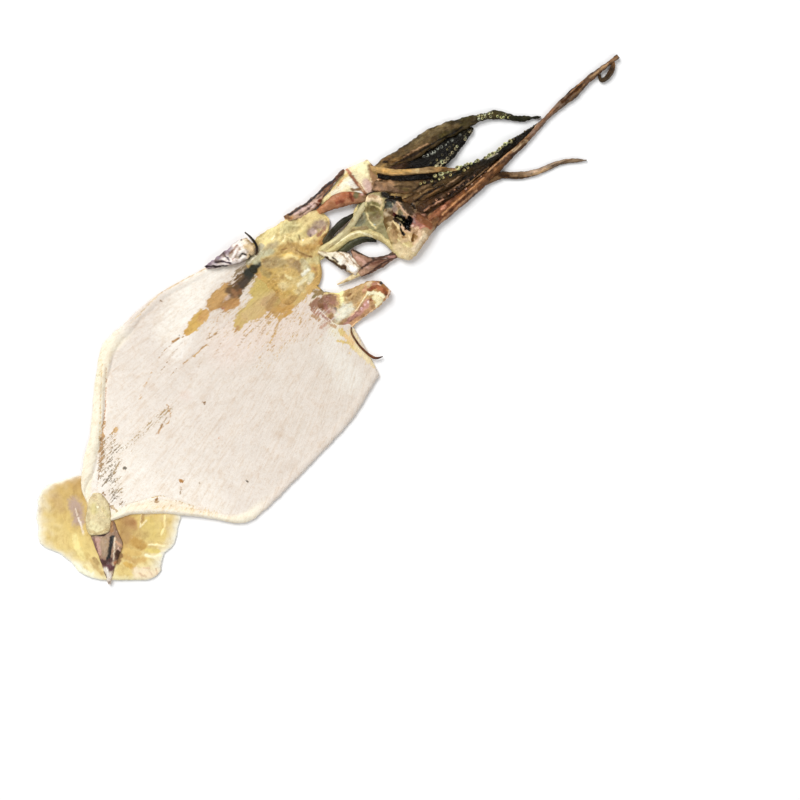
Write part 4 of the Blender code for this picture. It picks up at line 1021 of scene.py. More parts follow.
FRINGED_MARKS = (
    (((-20.5, 69), (-7.5, 77.5)), 3.5, (140, 114, 94), 1, 0.2),
    (((-19, 67), (-14.5, 69.5)), 1.8, (166, 140, 126), 1, 0.2),
    (((-12, 77.5), (-6, 80)), 3, (112, 96, 62)),
    (((-13.5, 68.5), (-8, 73.5), (-3.5, 79)), 0.7, (150, 118, 84), 0.9, 0.2),
    (((-22.5, 71), (-9.5, 83)), 1.2, (104, 88, 66), 1, -0.2),
    (((-2.5, 81.5), (-1, 88.5), (2, 95.5)), 0.8, (54, 40, 20), 1, -0.5),
    (((0, 84), (1.5, 91)), 1, (150, 124, 98), 0.8, 0.3),
    (((3.5, 92.5), (5, 101), (7, 109)), 0.8, (30, 24, 12), 1, -0.5),
    (((0.5, 98.5), (3.5, 104.5)), 1.4, (150, 112, 60), 0.9),
    (((7.5, 103.5), (12, 119.5)), 1.4, (26, 26, 14), 1, -0.3),
    (((9, 115.5), (12, 125), (13.5, 133.5)), 0.7, (78, 74, 54), 0.8, 0.3),
    (((15, 130), (16, 137.5)), 0.8, (40, 26, 28), 0.9, -0.3),
    # Painted shadow in the gap between the short tentacle and the fringed arm
    (((-10.5, 86), (3, 98)), 2, (20, 10, 3), 1, -0.8),
    (((-17, 74), (-13, 78)), 4, (158, 130, 106), 1, 0.3),
    (((-11.5, 78.5), (-5, 83.5)), 4, (132, 110, 84), 1, 0.2),
    (((-19, 67), (-15, 70)), 3, (170, 140, 120), 1, 0.2),
    (((-11.5, 70), (-4.5, 76.5)), 1.2, (98, 74, 34), 1, -0.3),
    # Painted shadow in the gap between the short tentacle and the fringed arm
    (((-23, 74.5), (-13.5, 82), (-5, 91), (0.5, 98.5)), 3.5, (22, 12, 4), 1, -1),
    # Painted glints
    (((15.5, 127), (17.5, 133.5)), 0.8, (180, 176, 170), 0.6, 0.2),
)
# The pale lines that stand up are painted highlights along the folds
INNER_MARKS = (
    (((3, 76), (4, 85), (6.5, 93)), 0.8, (48, 32, 14), 1, -0.5),
    (((1.5, 79), (4.5, 93)), 0.7, (140, 114, 84), 0.9, 0.3),
    (((5.5, 80), (6.5, 88), (8.5, 96)), 0.7, (128, 100, 72), 0.9, 0.3),
    (((5.5, 88.5), (9, 105.5)), 0.7, (56, 40, 18), 1, -0.4),
    (((9.5, 98), (12, 116)), 0.8, (164, 138, 116), 0.8, 0.3),
    (((13.5, 108), (15, 125)), 0.8, (24, 18, 8), 1, -0.4),
    (((15, 125), (15, 133.5)), 0.8, (196, 180, 190), 0.7, 0.3),
)
# The pale lines that stand up are painted highlights along the folds
MIDDLE_MARKS = (
    (((11, 78.5), (12, 85), (14, 91)), 0.8, (216, 172, 150), 1, 0.5),
    (((13.5, 80.5), (14.5, 86.5)), 1.8, (126, 96, 64), 1, -0.3),
    (((11.5, 84.5), (12.5, 93.5), (14.5, 102)), 0.7, (60, 42, 22), 1, -0.5),
    (((12, 90.5), (15, 108)), 0.7, (150, 122, 98), 0.9, 0.3),
    (((15, 94), (17, 113)), 0.7, (52, 34, 18), 1, -0.5),
    (((18, 106.5), (19.5, 124)), 0.7, (160, 132, 104), 0.8, 0.3),
)
THIN_MARKS = (
    (((28, 125.5), (31.5, 128.5)), 1.8, (112, 82, 52)),
    (((33, 129), (39, 135), (42.5, 140)), 0.7, (84, 62, 42), 1, -0.2),
    # Painted highlights: the next two pale lines along the thin tentacle
    (((33, 130.5), (39, 136.5)), 0.8, (176, 146, 116), 1, 0.2),
    (((40.5, 138.5), (43.5, 144), (45.5, 150)), 1, (192, 164, 134), 1, 0.2),
    (((45.5, 152), (51.5, 163)), 0.6, (120, 96, 76), 0.9),
)
# The pale lines that stand up along the long arm are painted highlights
LONG_MARKS = (
    (((16.5, 73.5), (17.5, 92)), 3, (166, 112, 84), 0.6),
    (((17.5, 68), (18.5, 74)), 3.5, (206, 160, 126), 0.8),
    (((13.5, 81.5), (15, 87.5)), 2.4, (200, 142, 122), 1, 0.2),
    (((17.5, 89), (17.5, 86.5)), 1.8, (212, 158, 138), 1, 0.2),
    (((15, 84), (16, 90)), 0.6, (120, 78, 54), 1, -0.3),
    (((19.5, 93.5), (20.5, 102.5)), 2, (150, 104, 66)),
    (((20, 84.5), (22, 118)), 0.8, (208, 160, 122), 0.9, 0.3),
    (((16.5, 95.5), (18.5, 113)), 0.7, (84, 54, 32), 1, -0.3),
    (((22.5, 105.5), (23, 127)), 1.4, (160, 118, 84), 0.9),
    (((21, 122), (22, 142)), 0.8, (206, 168, 136), 0.9, 0.3),
    (((22.5, 139), (23, 146), (23, 154.5)), 1.2, (176, 138, 104), 0.9),
    (((22, 151), (21.5, 163.5)), 0.6, (214, 184, 156), 0.9, 0.2),
    (((21.5, 166), (22, 175.5)), 1, (134, 100, 74), 0.8),
    (((21.5, 188), (22, 196)), 0.8, (84, 58, 40), 0.9, -0.3),
    (((22.5, 190.5), (23, 200.5)), 0.6, (180, 140, 106), 0.8, 0.2),
    (((23, 207), (23.5, 213)), 1, (88, 60, 34), 0.9, -0.3),
    (((23, 160), (23, 178.5)), 1.2, (156, 120, 96), 0.7),
    (((23.2, 183), (24.3, 198)), 1.4, (112, 76, 40), 0.9, -0.4),
    (((25.8, 184), (25.5, 193), (24.8, 200)), 0.7, (156, 126, 94), 0.8, 0.3),
    (((24.6, 205), (26.2, 218.5)), 1.2, (168, 140, 112), 0.8, 0.2),
    (((22.6, 79), (24.2, 109)), 1.2, (182, 144, 116), 0.9, 0.2),
    (((15.5, 92.5), (17, 101)), 1.8, (110, 72, 36), 0.8),
    (((22.8, 141.5), (23.8, 145.5), (24, 151.5)), 1.6, (210, 186, 160), 1, 0.2),
)

# Sucker rows: arm, first and last place across it and along it, count, first and last radius, rim colour
SUCKER_ROWS = (
    (ARM_SUCKERED, 0.12, 0.30, 0.30, 0.78, 12, 1.2, 0.8, (180, 180, 158)),
    (ARM_SUCKERED, 0.52, 0.52, 0.38, 0.95, 13, 0.9, 0.6, (140, 128, 84)),
    (ARM_SUCKERED, 0.80, 0.74, 0.36, 0.93, 17, 1.6, 1.0, (206, 190, 142)),
    (ARM_FRINGED, 0.02, 0.16, 0.36, 0.78, 27, 1.6, 1.3, (214, 202, 138)),
    (ARM_FRINGED, 0.14, 0.20, 0.80, 0.97, 8, 0.8, 0.5, (122, 106, 72)),
    (ARM_FRINGED, 0.30, 0.38, 0.28, 0.52, 9, 1.0, 0.8, (196, 178, 112)),
    (ARM_INNER, 0.36, 0.36, 0.18, 0.62, 10, 0.9, 0.7, (166, 134, 84)),
    (ARM_MIDDLE, 0.42, 0.50, 0.20, 0.60, 8, 0.8, 0.6, (176, 130, 96)),
    (ARM_LONG, 0.14, 0.10, 0.26, 0.44, 7, 0.8, 0.6, (206, 160, 130)),
    (ARM_BLADE, 0.30, 0.30, 0.57, 0.64, 5, 1.0, 0.9, (206, 198, 140)),
    (ARM_BLADE, 0.66, 0.66, 0.575, 0.635, 5, 1.0, 0.9, (214, 204, 146)),
    (ARM_BLADE, 0.32, 0.36, 0.69, 0.76, 4, 0.9, 0.8, (206, 198, 140)),
    (ARM_BLADE, 0.70, 0.66, 0.68, 0.75, 4, 0.9, 0.8, (196, 186, 122)),
)
# A sucker's cross-section, in radii: out from its middle, height
SUCKER_PROFILE = ((0, 0.1), (0.4, 0.15), (0.56, 0.62), (0.78, 0.8), (0.98, 0.5), (1.06, -0.4), (0, -0.5))
SUCKER_SIDES = 12
SUCKER_CUP = (34, 26, 12)
# How much rim colour each ring of the profile takes, from the cup outwards: partly the rim's own pale colour,
# partly painted highlight on its top
SUCKER_RIM_AND_HIGHLIGHT = (0.15, 0.8, 1, 0.7, 0.4)
# How uneven the suckers are: the share that is lost, their shift along a row in spaces and across it in
# widths of the arm, their sizes and brightness as factors, and how far they lean and their painted highlight
# turns
SUCKER_SEED = 11
SUCKERS_LOST = 0.15
SUCKER_SHIFT = 0.3
SUCKER_STRAY = 0.04
SUCKER_SIZES = (0.65, 1.15)
SUCKER_BRIGHTNESS = (0.5, 2.2)
SUCKER_LEAN = 0.35
SUCKER_HIGHLIGHT_TURN = 1.3

# A strip's cross-section: the share of its thickness at which its edge lies, how wide its ends are rounded,
# and the closer rows there, in cells
EDGE_SHARE = 0.45
END_REACH = 1.6
END_ROWS = (0.1, 0.4)
# A strip's torn edge: the size of its bays and nicks, and the depth of the nicks beside the bays
BAY_SIZE = 7
NICK_SIZE = 1.9
NICK_SHARE = 0.6
# The unevenness of marks: how far all shake and how far wide ones wander, each over what size, and the size
# of their frill and of their specks
SHAKE = 0.5
SHAKE_SIZE = 1.7
WANDER = 1.5
WANDER_SIZE = 5.5
FRILL_SIZE = 2.6
SPECK = 0.3
SPECK_SIZE = 1.0
# Crumples: the size and depth of wide and small folds, and how sharp their creases are
WIDE_FOLDS = (5.5, 1.3)
SMALL_FOLDS = (2.4, 0.7)
CREASE_SHARPNESS = 2.6
# How much painted shade darkens the hollows and painted highlight lightens the crests, in red, green and blue
HOLLOW_SHADE = (0.5, 0.58, 0.68)
CREST_LIGHT = (0.3, 0.28, 0.24)
BLOOM_COLOUR = (246, 236, 222)
# How much of its own colour a strip's underside has, and how far apart strips lie in their materials' noise
UNDER_SHARE = 0.65
FLOW_STEP = 13.7
# What a tint is raised to and multiplied by, so that it looks right in the pale light all round
TINT_DEPTH = 1.15
TINT_GAIN = (1.06, 1.1, 1.24)
PALE_DEPTH = 1.12
PALE_GAIN = (1, 1.03, 1.16)
DARK_DEPTH = 1.2
DARK_GAIN = (1, 0.99, 0.88)

# The photograph's frame: 480 mm across at the table, seen by an 85 mm lens on a 36 mm film
VIEW_WIDTH = 0.480
VIEW_TARGET = (0.0805, -0.0118, 0.0)
VIEW_TURN = math.radians(45)
LENS_MM = 85
FILM_MM = 36
NEAREST_SEEN = 0.01

# Lights: place, size in metres, watts
KEY_LIGHT = ((-1.66, 0.25, 1.95), 1.5, 60)
FILL_LIGHT = ((1.85, -0.3, 1.7), 1.8, 20)
SKY_COLOUR = (0.98, 0.99, 1, 1)
SKY_STRENGTH = 0.34
FLOOR_SIZE = 6
FLOOR_DROP = 0.0002
FLOOR_COLOUR = (0.97, 0.97, 0.97, 1)
FLOOR_ROUGHNESS = 0.9


def linear(colour):
    """An sRGB colour, 0 to 255, as the linear values that shaders take."""
    share = np.asarray(colour, float) / 255
    return np.where(share <= 0.04045, share / 12.92, ((share + 0.055) / 1.055) ** 2.4)


def smooth(low, high, value):
    """0 below low and 1 above high, with a smooth step between."""
    f = np.clip((value - low) / (high - low), 0, 1)
    return f * f * (3 - 2 * f)


def hills(x, y, size, stretch=1.0, layer=0.0):
    """Smooth noise, about -0.7 to 0.7, whose hills are size wide, and stretch times that along Y."""
    at = np.frompyfunc(lambda a, b: noise.noise((a, b, layer)), 2, 1)
    return at(x / size, y / (size * stretch)).astype(float)


def smooth_rows(table, t):
    """The table's rows at each t, from 0 to 1, on a smooth curve through them."""
    rows = np.array(table, float)
    spans = len(rows) - 1
    place = np.clip(t, 0, 1) * spans
    index = np.minimum(place.astype(int), spans - 1)
    f = (place - index)[:, None]
    a, b, c, d = (rows[np.clip(index + step, 0, spans)] for step in (-1, 0, 1, 2))
    return 0.5 * (2 * b + (c - a) * f + (2 * a - 5 * b + 4 * c - d) * f**2 + (3 * b - a - 3 * c + d) * f**3)


def ribbon_edges(table, t):
    """The left and right edge points of a ribbon at each t, with its underside and thickness."""
    x, y, half, low, thick = smooth_rows(table, t).T
    ahead = smooth_rows(table, np.minimum(t + 0.01, 1))[:, :2]
    behind = smooth_rows(table, np.maximum(t - 0.01, 0))[:, :2]
    along = ahead - behind
    along /= np.hypot(along[:, 0], along[:, 1])[:, None]
    side = np.stack((along[:, 1], -along[:, 0]), 1) * half[:, None]
    middle = np.stack((x, y), 1)
    return middle - side, middle + side, low, thick


def sheet_edges(table, t):
    """The same for a sheet whose rows run straight across."""
    y, left, right, low, thick = smooth_rows(table, t).T
    return np.stack((left, y), 1), np.stack((right, y), 1), low, thick


def tail_edges(table, t):
    """The same for a sheet on the tail's own axis."""
    up, left, right, low, thick = smooth_rows(table, t).T
    return tail_points(left, up), tail_points(right, up), low, thick


def tail_points(across, up):
    cos, sin = math.cos(TAIL_TURN), math.sin(TAIL_TURN)
    return np.stack((TAIL_TIP[0] + across * cos - up * sin, TAIL_TIP[1] + across * sin + up * cos), 1)


def even_places(table, edges_of, cell):
    """Places t along a table, a cell apart and closer at its ends, and the millimetres along to each."""
    dense = np.linspace(0, 1, 600)
    left, right, _, _ = edges_of(table, dense)
    steps = np.diff((left + right) / 2, axis=0)
    length = np.concatenate(([0], np.cumsum(np.hypot(steps[:, 0], steps[:, 1]))))
    count = max(4, round(length[-1] / cell))
    along = np.linspace(0, length[-1], count + 1)
    close = np.array(END_ROWS) * min(cell, END_REACH)
    along = np.unique(np.concatenate((along, close, length[-1] - close)))
    return np.interp(along, length, dense), along


def column_places(width, cell):
    """Places across a strip, from 0 to 1, about a cell apart and closer together at its edges."""
    count = max(8, round(width / cell))
    even = np.linspace(0, 1, count + 1)
    crowded = 0.5 - 0.5 * np.cos(np.pi * even)
    return 0.65 * even + 0.35 * crowded


def line_distance(x, y, points):
    """How far each place is from a line through the points, or from one point."""
    ends = list(zip(points, points[1:])) or [(points[0], points[0])]
    nearest = np.full(x.shape, np.inf)
    for (ax, ay), (bx, by) in ends:
        square = (bx - ax) ** 2 + (by - ay) ** 2
        f = np.clip(((x - ax) * (bx - ax) + (y - ay) * (by - ay)) / max(square, 1e-9), 0, 1)
        nearest = np.minimum(nearest, np.hypot(x - ax - f * (bx - ax), y - ay - f * (by - ay)))
    return nearest


class Strip:
    """One strip of flesh: a grid of places with a top, an underside, a colour and a share of white bloom."""

    def __init__(self, table, edges_of, cell, ragged, layer):
        self.layer = layer
        t, along = even_places(table, edges_of, cell)
        left, right, low, thick = edges_of(table, t)
        self.t = t[:, None]
        self.length = along[-1]
        width = np.hypot(*(right - left).T)
        reach = (right - left) / width[:, None]
        left = left - reach * self.tears(along, ragged, 1)[:, None]
        right = right + reach * self.tears(along, ragged, 2)[:, None]
        self.width = np.maximum(np.hypot(*(right - left).T), 0.2)[:, None]
        self.s = column_places(width.max(), cell)[None, :]
        places = left[:, None, :] + (right - left)[:, None, :] * self.s[..., None]
        self.x = places[..., 0]
        self.y = places[..., 1]
        self.along = np.broadcast_to(along[:, None], self.x.shape)
        self.flow = ((self.s - 0.5) * self.width, self.along)
        self.side = np.minimum(self.s, 1 - self.s) * self.width
        self.thick = thick[:, None]
        self.base = np.maximum(low, 0)[:, None]
        self.shape = self.x.shape
        self.drag = 0.0
        self.edge_share = EDGE_SHARE
        self.relief = np.zeros(self.shape)
        self.shake = [SHAKE * hills(self.x, self.y, SHAKE_SIZE, layer=layer + 20 + k) for k in range(2)]
        self.wander = [WANDER * hills(self.x, self.y, WANDER_SIZE, layer=layer + 30 + k) for k in range(2)]
        self.frill = [hills(self.x, self.y, FRILL_SIZE, layer=layer + 40 + k) for k in range(2)]
        self.speck = SPECK * hills(self.x, self.y, SPECK_SIZE, layer=layer + 50)

    def tears(self, along, ragged, side):
        """The uneven outline of one side: long bays with short nicks on them."""
        layer = self.layer + 0.37 * side
        bays = hills(along, 0 * along, BAY_SIZE, layer=layer)
        nicks = hills(along, 0 * along, NICK_SIZE, layer=layer)
        return ragged * (bays + NICK_SHARE * nicks)

    def round_off(self, full):
        """Sets top and underside from how full the cross-section is, closing the strip at both ends."""
        end = np.minimum(self.along, self.length - self.along)
        closing = np.sqrt(1 - (1 - np.clip(end / END_REACH, 0, 1)) ** 2)
        self.full = full * closing
        self.top = self.base + self.thick * (self.edge_share + (1 - self.edge_share) * self.full)
        self.low = self.base + self.thick * self.edge_share * (1 - self.full)

    def sink(self, first, last):
        """Lowers the top into what the strip grows out of, over so many millimetres at its two ends."""
        keep = np.ones(self.shape)
        if first:
            keep = keep * smooth(-0.2 * first, first, self.along)
        if last:
            keep = keep * smooth(-0.2 * last, last, self.length - self.along)
        self.top = self.low + (self.top - self.low) * keep

    def raise_by(self, height):
        self.top = self.top + height * np.minimum(self.full * 1.6, 1)
        self.relief = self.relief + height

    def ramp(self, ramp):
        """Colours along the strip, evenly spaced, with a little unevenness."""
        drift = 0.12 * hills(self.x, self.y, 9, layer=self.layer + 5)
        place = np.clip(self.t + drift, 0, 1)
        colours = linear(ramp)
        steps = np.linspace(0, 1, len(ramp))
        channels = [np.interp(place, steps, colours[:, k]) for k in range(3)]
        return np.stack([np.broadcast_to(channel, self.shape) for channel in channels], -1)

    def colour(self, ramp):
        self.tint = self.ramp(ramp)
        self.bloom = np.zeros(self.shape)
        self.dust = linear(BLOOM_COLOUR) * np.ones((*self.shape, 1))

    def blend_in(self, colour, share):
        self.tint = self.tint + (linear(colour) - self.tint) * share[..., None]

    def shade(self, painted_shading):
        """Paints shade into the hollows of the relief so far and highlight onto its crests."""
        level = (self.relief - self.relief.mean()) / max(self.relief.std(), 1e-6)
        hollow = painted_shading * smooth(0.1, -1.5, level)
        crest = painted_shading * smooth(0.5, 2.0, level)
        self.tint = self.tint * (1 - hollow[..., None] * np.array(HOLLOW_SHADE))
        self.tint = self.tint * (1 + crest[..., None] * np.array(CREST_LIGHT))

    def melt(self, start, end, reach):
        """Lets the side edges sink into what is below, fully below y = start and not at all above y = end."""
        share = smooth(end, start, self.y) * smooth(reach, 0, self.side)
        self.top = self.top - (self.top - self.low) * share

    def powder(self, share, reach):
        """White bloom where the strip grows out of the mantle: at its first end and beside it."""
        near = np.minimum(self.along, 3 * self.side + 0.6 * self.along)
        self.bloom = np.maximum(self.bloom, share * smooth(reach, 0, near))

    def edge(self, colour, reach, share=0.8):
        uneven = 1 + 0.7 * hills(self.x, self.y, 4, layer=self.layer + 9)
        self.blend_in(colour, share * np.exp(-self.side / (reach * np.maximum(uneven, 0.2))))

    def mark(self, marks):
        """Paints lines and spots, one after the other."""
        patchy = 1 + 0.4 * hills(self.x, self.y, 2.4, layer=self.layer + 3) + self.speck
        for row in marks:
            self.paint(patchy, *row)

    def paint(self, patchy, points, width, colour, cover=1, lift=0):
        """One mark with an uneven outline: it wears the bloom away or tints it, and stands up or sinks in."""
        loose = min(width / 8, 1)
        x = self.x + self.shake[0] + loose * (self.wander[0] + self.frill[0])
        y = self.y + self.shake[1] + loose * (self.wander[1] + self.frill[1] + self.drag)
        distance = line_distance(x, y, points)
        soft = 0.25 + width * (0.17 + 0.12 * smooth(1.5, 5, width))
        painted = smooth(width / 2 + soft, width / 2 - soft, distance)
        painted = painted * (1 + 4 * self.speck * (1 - painted))
        share = np.clip((1.5 - 0.4 * loose) * abs(cover) * painted * patchy, 0, 1)
        if cover < 0:
            self.dust = self.dust + (linear(colour) - self.dust) * share[..., None]
            return
        self.blend_in(colour, share)
        speckled = 0.7 + 0.4 * min(width, 12)
        bare = np.clip(0.5 + (width / 2 - distance) / speckled, 0, 1)
        self.bloom = np.minimum(self.bloom, 1 - cover * bare)
        if lift:
            self.raise_by(lift * smooth(width / 2 + 0.5, 0, distance))


class Skin:
    """The closed surfaces of one piece, with what its material reads at each point."""

    def __init__(self):
        self.points = []
        self.faces = []
        self.tints = []
        self.blooms = []
        self.dusts = []
        self.flows = []
        self.count = 0

    def add(self, points, faces, tint, bloom, dust, flow):
        self.faces.extend([[k + self.count for k in face] for face in faces])
        self.points.append(points)
        self.tints.append(tint)
        self.blooms.append(bloom)
        self.dusts.append(dust)
        self.flows.append(flow)
        self.count += len(points)

    def close(self, strip, under):
        """Adds a strip as one closed surface: its top and its underside, which share their outer points."""
        rows, columns = strip.shape
        top = np.arange(rows * columns).reshape(rows, columns)
        low = top.copy()
        inside = (slice(1, -1), slice(1, -1))
        low[inside] = rows * columns + np.arange((rows - 2) * (columns - 2)).reshape(rows - 2, columns - 2)
        height = np.minimum(np.maximum(strip.top, strip.low + 0.05), HIGHEST)
        upper = np.stack((strip.x, strip.y, height), -1).reshape(-1, 3)
        lower = np.stack((strip.x, strip.y, strip.low), -1)[inside].reshape(-1, 3)
        worn = 1 + 0.3 * hills(strip.x, strip.y, 5, layer=strip.layer + 7)
        skin_tint = ((1 - UNDER_SHARE) * strip.tint + UNDER_SHARE * linear(under)) * worn[..., None]
        tint = np.concatenate((strip.tint.reshape(-1, 3), skin_tint[inside].reshape(-1, 3)))
        bloom = np.concatenate((strip.bloom.reshape(-1), 0 * strip.bloom[inside].reshape(-1)))
        dust = np.concatenate((strip.dust.reshape(-1, 3), strip.dust[inside].reshape(-1, 3)))
        flow = np.stack((*strip.flow, np.full(strip.shape, strip.layer * FLOW_STEP)), -1)
        flow = np.concatenate((flow.reshape(-1, 3), flow[inside].reshape(-1, 3)))
        faces = np.concatenate((quads(top), quads(low)[:, ::-1])).tolist()
        self.add(np.concatenate((upper, lower)), faces, tint, bloom, dust, flow)

    def build(self, name, material, slot, depth=TINT_DEPTH, gain=TINT_GAIN):
        """One mesh object of all the surfaces, riding on the squid's body in the CAD solid's place."""
        self.tints = [np.array(gain) * tint**depth for tint in self.tints]
        points = np.concatenate(self.points) * MM
        mesh = bpy.data.meshes.new(name)
        mesh.from_pydata(points.tolist(), [], self.faces)
        for attribute, values in (("tint", self.tints), ("dust", self.dusts)):
            colours = np.clip(np.concatenate(values), 0.001, 0.99)
            colours = np.concatenate((colours, np.ones((len(colours), 1))), 1)
            mesh.attributes.new(attribute, "FLOAT_COLOR", "POINT").data.foreach_set("color", colours.ravel())
        blooms = np.concatenate(self.blooms)
        mesh.attributes.new("bloom", "FLOAT", "POINT").data.foreach_set("value", blooms)
        flows = np.concatenate(self.flows).ravel()
        mesh.attributes.new("flow", "FLOAT_VECTOR", "POINT").data.foreach_set("vector", flows)
        mesh.shade_smooth()
        piece = bpy.data.objects.new(name, mesh)
        bpy.context.scene.collection.objects.link(piece)
        piece.data.materials.append(material)
        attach(piece, "root")
        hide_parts("dried_squid")


def quads(index):
    """The four-sided faces of a grid of point numbers, facing up."""
    return np.stack((index[:-1, :-1], index[:-1, 1:], index[1:, 1:], index[1:, :-1]), -1).reshape(-1, 4)


def lay(skin, table, edges_of, squareness, ramp, cell=FINE_CELL, crinkle=0.0, fine=0.15, ridges=0.0,
        ragged=0.3, sink=(0, 0), melt=None, painted_shading=0.7, edge=None, marks=(), dust=(0, 1),
        edge_share=EDGE_SHARE, under=(196, 158, 118)):
    """One strip of flesh from a table: its form, relief and colours, with painted shade and highlight on the
    relief.
    """
    strip = Strip(table, edges_of, cell, ragged, layer=len(skin.points) + 1.0)
    strip.edge_share = edge_share
    strip.round_off(np.sqrt(1 - np.abs(2 * strip.s - 1) ** squareness) * np.ones(strip.shape))
    strip.raise_by(crinkle * CRINKLE_DEPTH * hills(strip.x, strip.y, CRINKLE_SIZE))
    strip.relief = 0 * strip.relief
    strip.raise_by(fine * crumples(strip))
    strip.raise_by(ridges * furrows(strip))
    strip.sink(*sink)
    if melt:
        strip.melt(*melt)
    strip.colour(ramp)
    if edge:
        strip.edge(*edge)
    strip.mark(marks)
    strip.powder(*dust)
    # Painted shade in the relief's hollows and painted highlight on its crests
    strip.shade(painted_shading)
    skin.close(strip, under)


def crumples(strip):
    """Sharp little folds of dried skin: the creases are where noise crosses zero."""
    height = 0.0
    for layer, (size, depth) in ((2, WIDE_FOLDS), (4, SMALL_FOLDS)):
        away = np.abs(hills(strip.x, strip.y, size, layer=strip.layer + layer))
        height = height + depth * (1 - CREASE_SHARPNESS * away)
    return height


def furrows(strip):
    """Long folds along the flow, wide ones with fine ones on them."""
    wide = hills(*strip.flow, 2.0, stretch=8, layer=strip.layer)
    fine = hills(*strip.flow, 0.9, stretch=7, layer=strip.layer + 1)
    return wide + 0.4 * fine


def rim(strip, distance, table):
    """A rolled rim along one side, with a crease where it meets the sheet."""
    ys, widths, rises = np.array(table, float).T
    width = np.interp(strip.y, ys, widths) * (1 + RIM_UNEVENNESS * hills(strip.x, strip.y, 14, layer=8))
    rise = np.interp(strip.y, ys, rises)
    roll = np.sin(np.pi * np.clip(distance / width, 0, 1))
    crease = np.exp(-(((distance - width) / RIM_CREASE_WIDTH) ** 2))
    return rise * roll - RIM_CREASE * rise * crease


def mantle():
    """The split mantle: white bloom over golden flesh, brushed along its length, with rolled rims."""
    skin = Skin()
    strip = Strip(MANTLE_SHEET, sheet_edges, CELL, ragged=0.5, layer=1.0)
    across = strip.s * np.ones(strip.shape)
    from_left = across * strip.width
    from_right = (1 - across) * strip.width
    strip.y = strip.y + MANTLE_FRONT_BOW * np.sin(np.pi * across) * strip.t**6
    brush_mantle(strip)
    shape_mantle(strip, from_left, from_right)
    colour_mantle(strip, from_left, from_right)
    strip.mark(MANTLE_MARKS)
    skin.close(strip, under=MANTLE_UNDER)
    lay(skin, FRONT_CURL, ribbon_edges, 2, ((150, 110, 70), (84, 46, 24), (126, 78, 44), (66, 32, 16)),
        ragged=0.2)
    return skin


def brush_mantle(strip):
    """Fans out the flow and lets marks be dragged along it, and wander less than elsewhere."""
    fan_x = strip.x - FAN_CENTRE[0]
    fan_y = FAN_CENTRE[1] - strip.y
    strip.flow = (FAN_SCALE * np.arctan2(fan_x, fan_y), np.hypot(fan_x, fan_y))
    for k, (reach, width, stretch) in enumerate(STREAKS):
        strip.drag = strip.drag + reach * hills(*strip.flow, width, stretch=stretch, layer=6 + k)
    strip.wander = [0.6 * part for part in strip.wander]


def shape_mantle(strip, from_left, from_right):
    """Lifts and rounds the margin, rolls the rims, and adds waves, fibres and wrinkles."""
    lifted = RIM_LIFT * np.maximum(0, 1 - strip.side / FLAT_MARGIN) ** 2
    strip.base = strip.base + lifted
    strip.thick = strip.thick - lifted
    strip.round_off(np.sqrt(1 - (1 - np.clip(strip.side / ROUND_MARGIN, 0, 1)) ** 2))
    inset = np.minimum(1, strip.width / RIM_ROOM)
    strip.raise_by(rim(strip, from_left / inset, LEFT_RIM) * inset)
    strip.raise_by(rim(strip, from_right / inset, RIGHT_RIM) * inset)
    inner = smooth(1, 8, strip.side)
    strip.raise_by(WAVE_DEPTH * hills(strip.x, strip.y, WAVE_SIZE) * inner)
    strip.raise_by(FIBRE_DEPTH * hills(*strip.flow, FIBRE_SIZE, stretch=7, layer=2) * inner)
    strip.raise_by(WRINKLE_DEPTH * hills(strip.x, strip.y, WRINKLE_SIZE, stretch=3, layer=3))


def colour_mantle(strip, from_left, from_right):
    """White bloom over golden flesh: thinner towards the neck, and both warmer on the rims near the tail."""
    strip.colour(MANTLE_FLESH)
    strip.dust = strip.ramp(MANTLE_BLOOM)
    strip.bloom = 1 - 0.38 * smooth(215, 150, strip.flow[1]) * smooth(36, 20, np.abs(strip.x + 12))
    left_roll = smooth(10, 7, from_left) * smooth(-92, -112, strip.y)
    right_roll = smooth(8, 4, from_right) * smooth(-105, -130, strip.y)
    roll = 0.85 * np.maximum(left_roll, right_roll)
    strip.dust = strip.dust + (linear(ROLL_BLOOM) - strip.dust) * roll[..., None]
    strip.blend_in(ROLL_FLESH, roll)
    strip.edge(MANTLE_EDGE, 1.4, 0.9)
    strip.bloom = strip.bloom - 0.2 * np.exp(-strip.side / 0.4)


def tail():
    skin = Skin()
    lay(skin, FIN_SHEET, tail_edges, 8, ((248, 236, 184), (236, 212, 142), (226, 198, 126),
        (204, 168, 106)), crinkle=0.6, fine=0.05, ragged=0.9, painted_shading=0.2,
        edge=((255, 252, 232), 3.6, 0.95), marks=TAIL_MARKS, edge_share=0.1, under=(240, 222, 170))
    return skin


def tail_core():
    skin = Skin()
    lay(skin, TAIL_CONE, tail_edges, 2, ((242, 230, 204), (170, 138, 112), (176, 150, 122), (146, 116, 94)),
        crinkle=0.3, ridges=0.5, painted_shading=0.4, edge=((150, 116, 96), 0.6, 0.6), marks=CONE_MARKS)
    lay(skin, TAIL_LEAF, tail_edges, 4, ((222, 206, 158), (222, 206, 160), (224, 208, 164)), crinkle=0.3,
        fine=0.06, ragged=0.15, painted_shading=0.3, edge=((190, 166, 118), 0.4, 0.7), marks=LEAF_MARKS)
    return skin


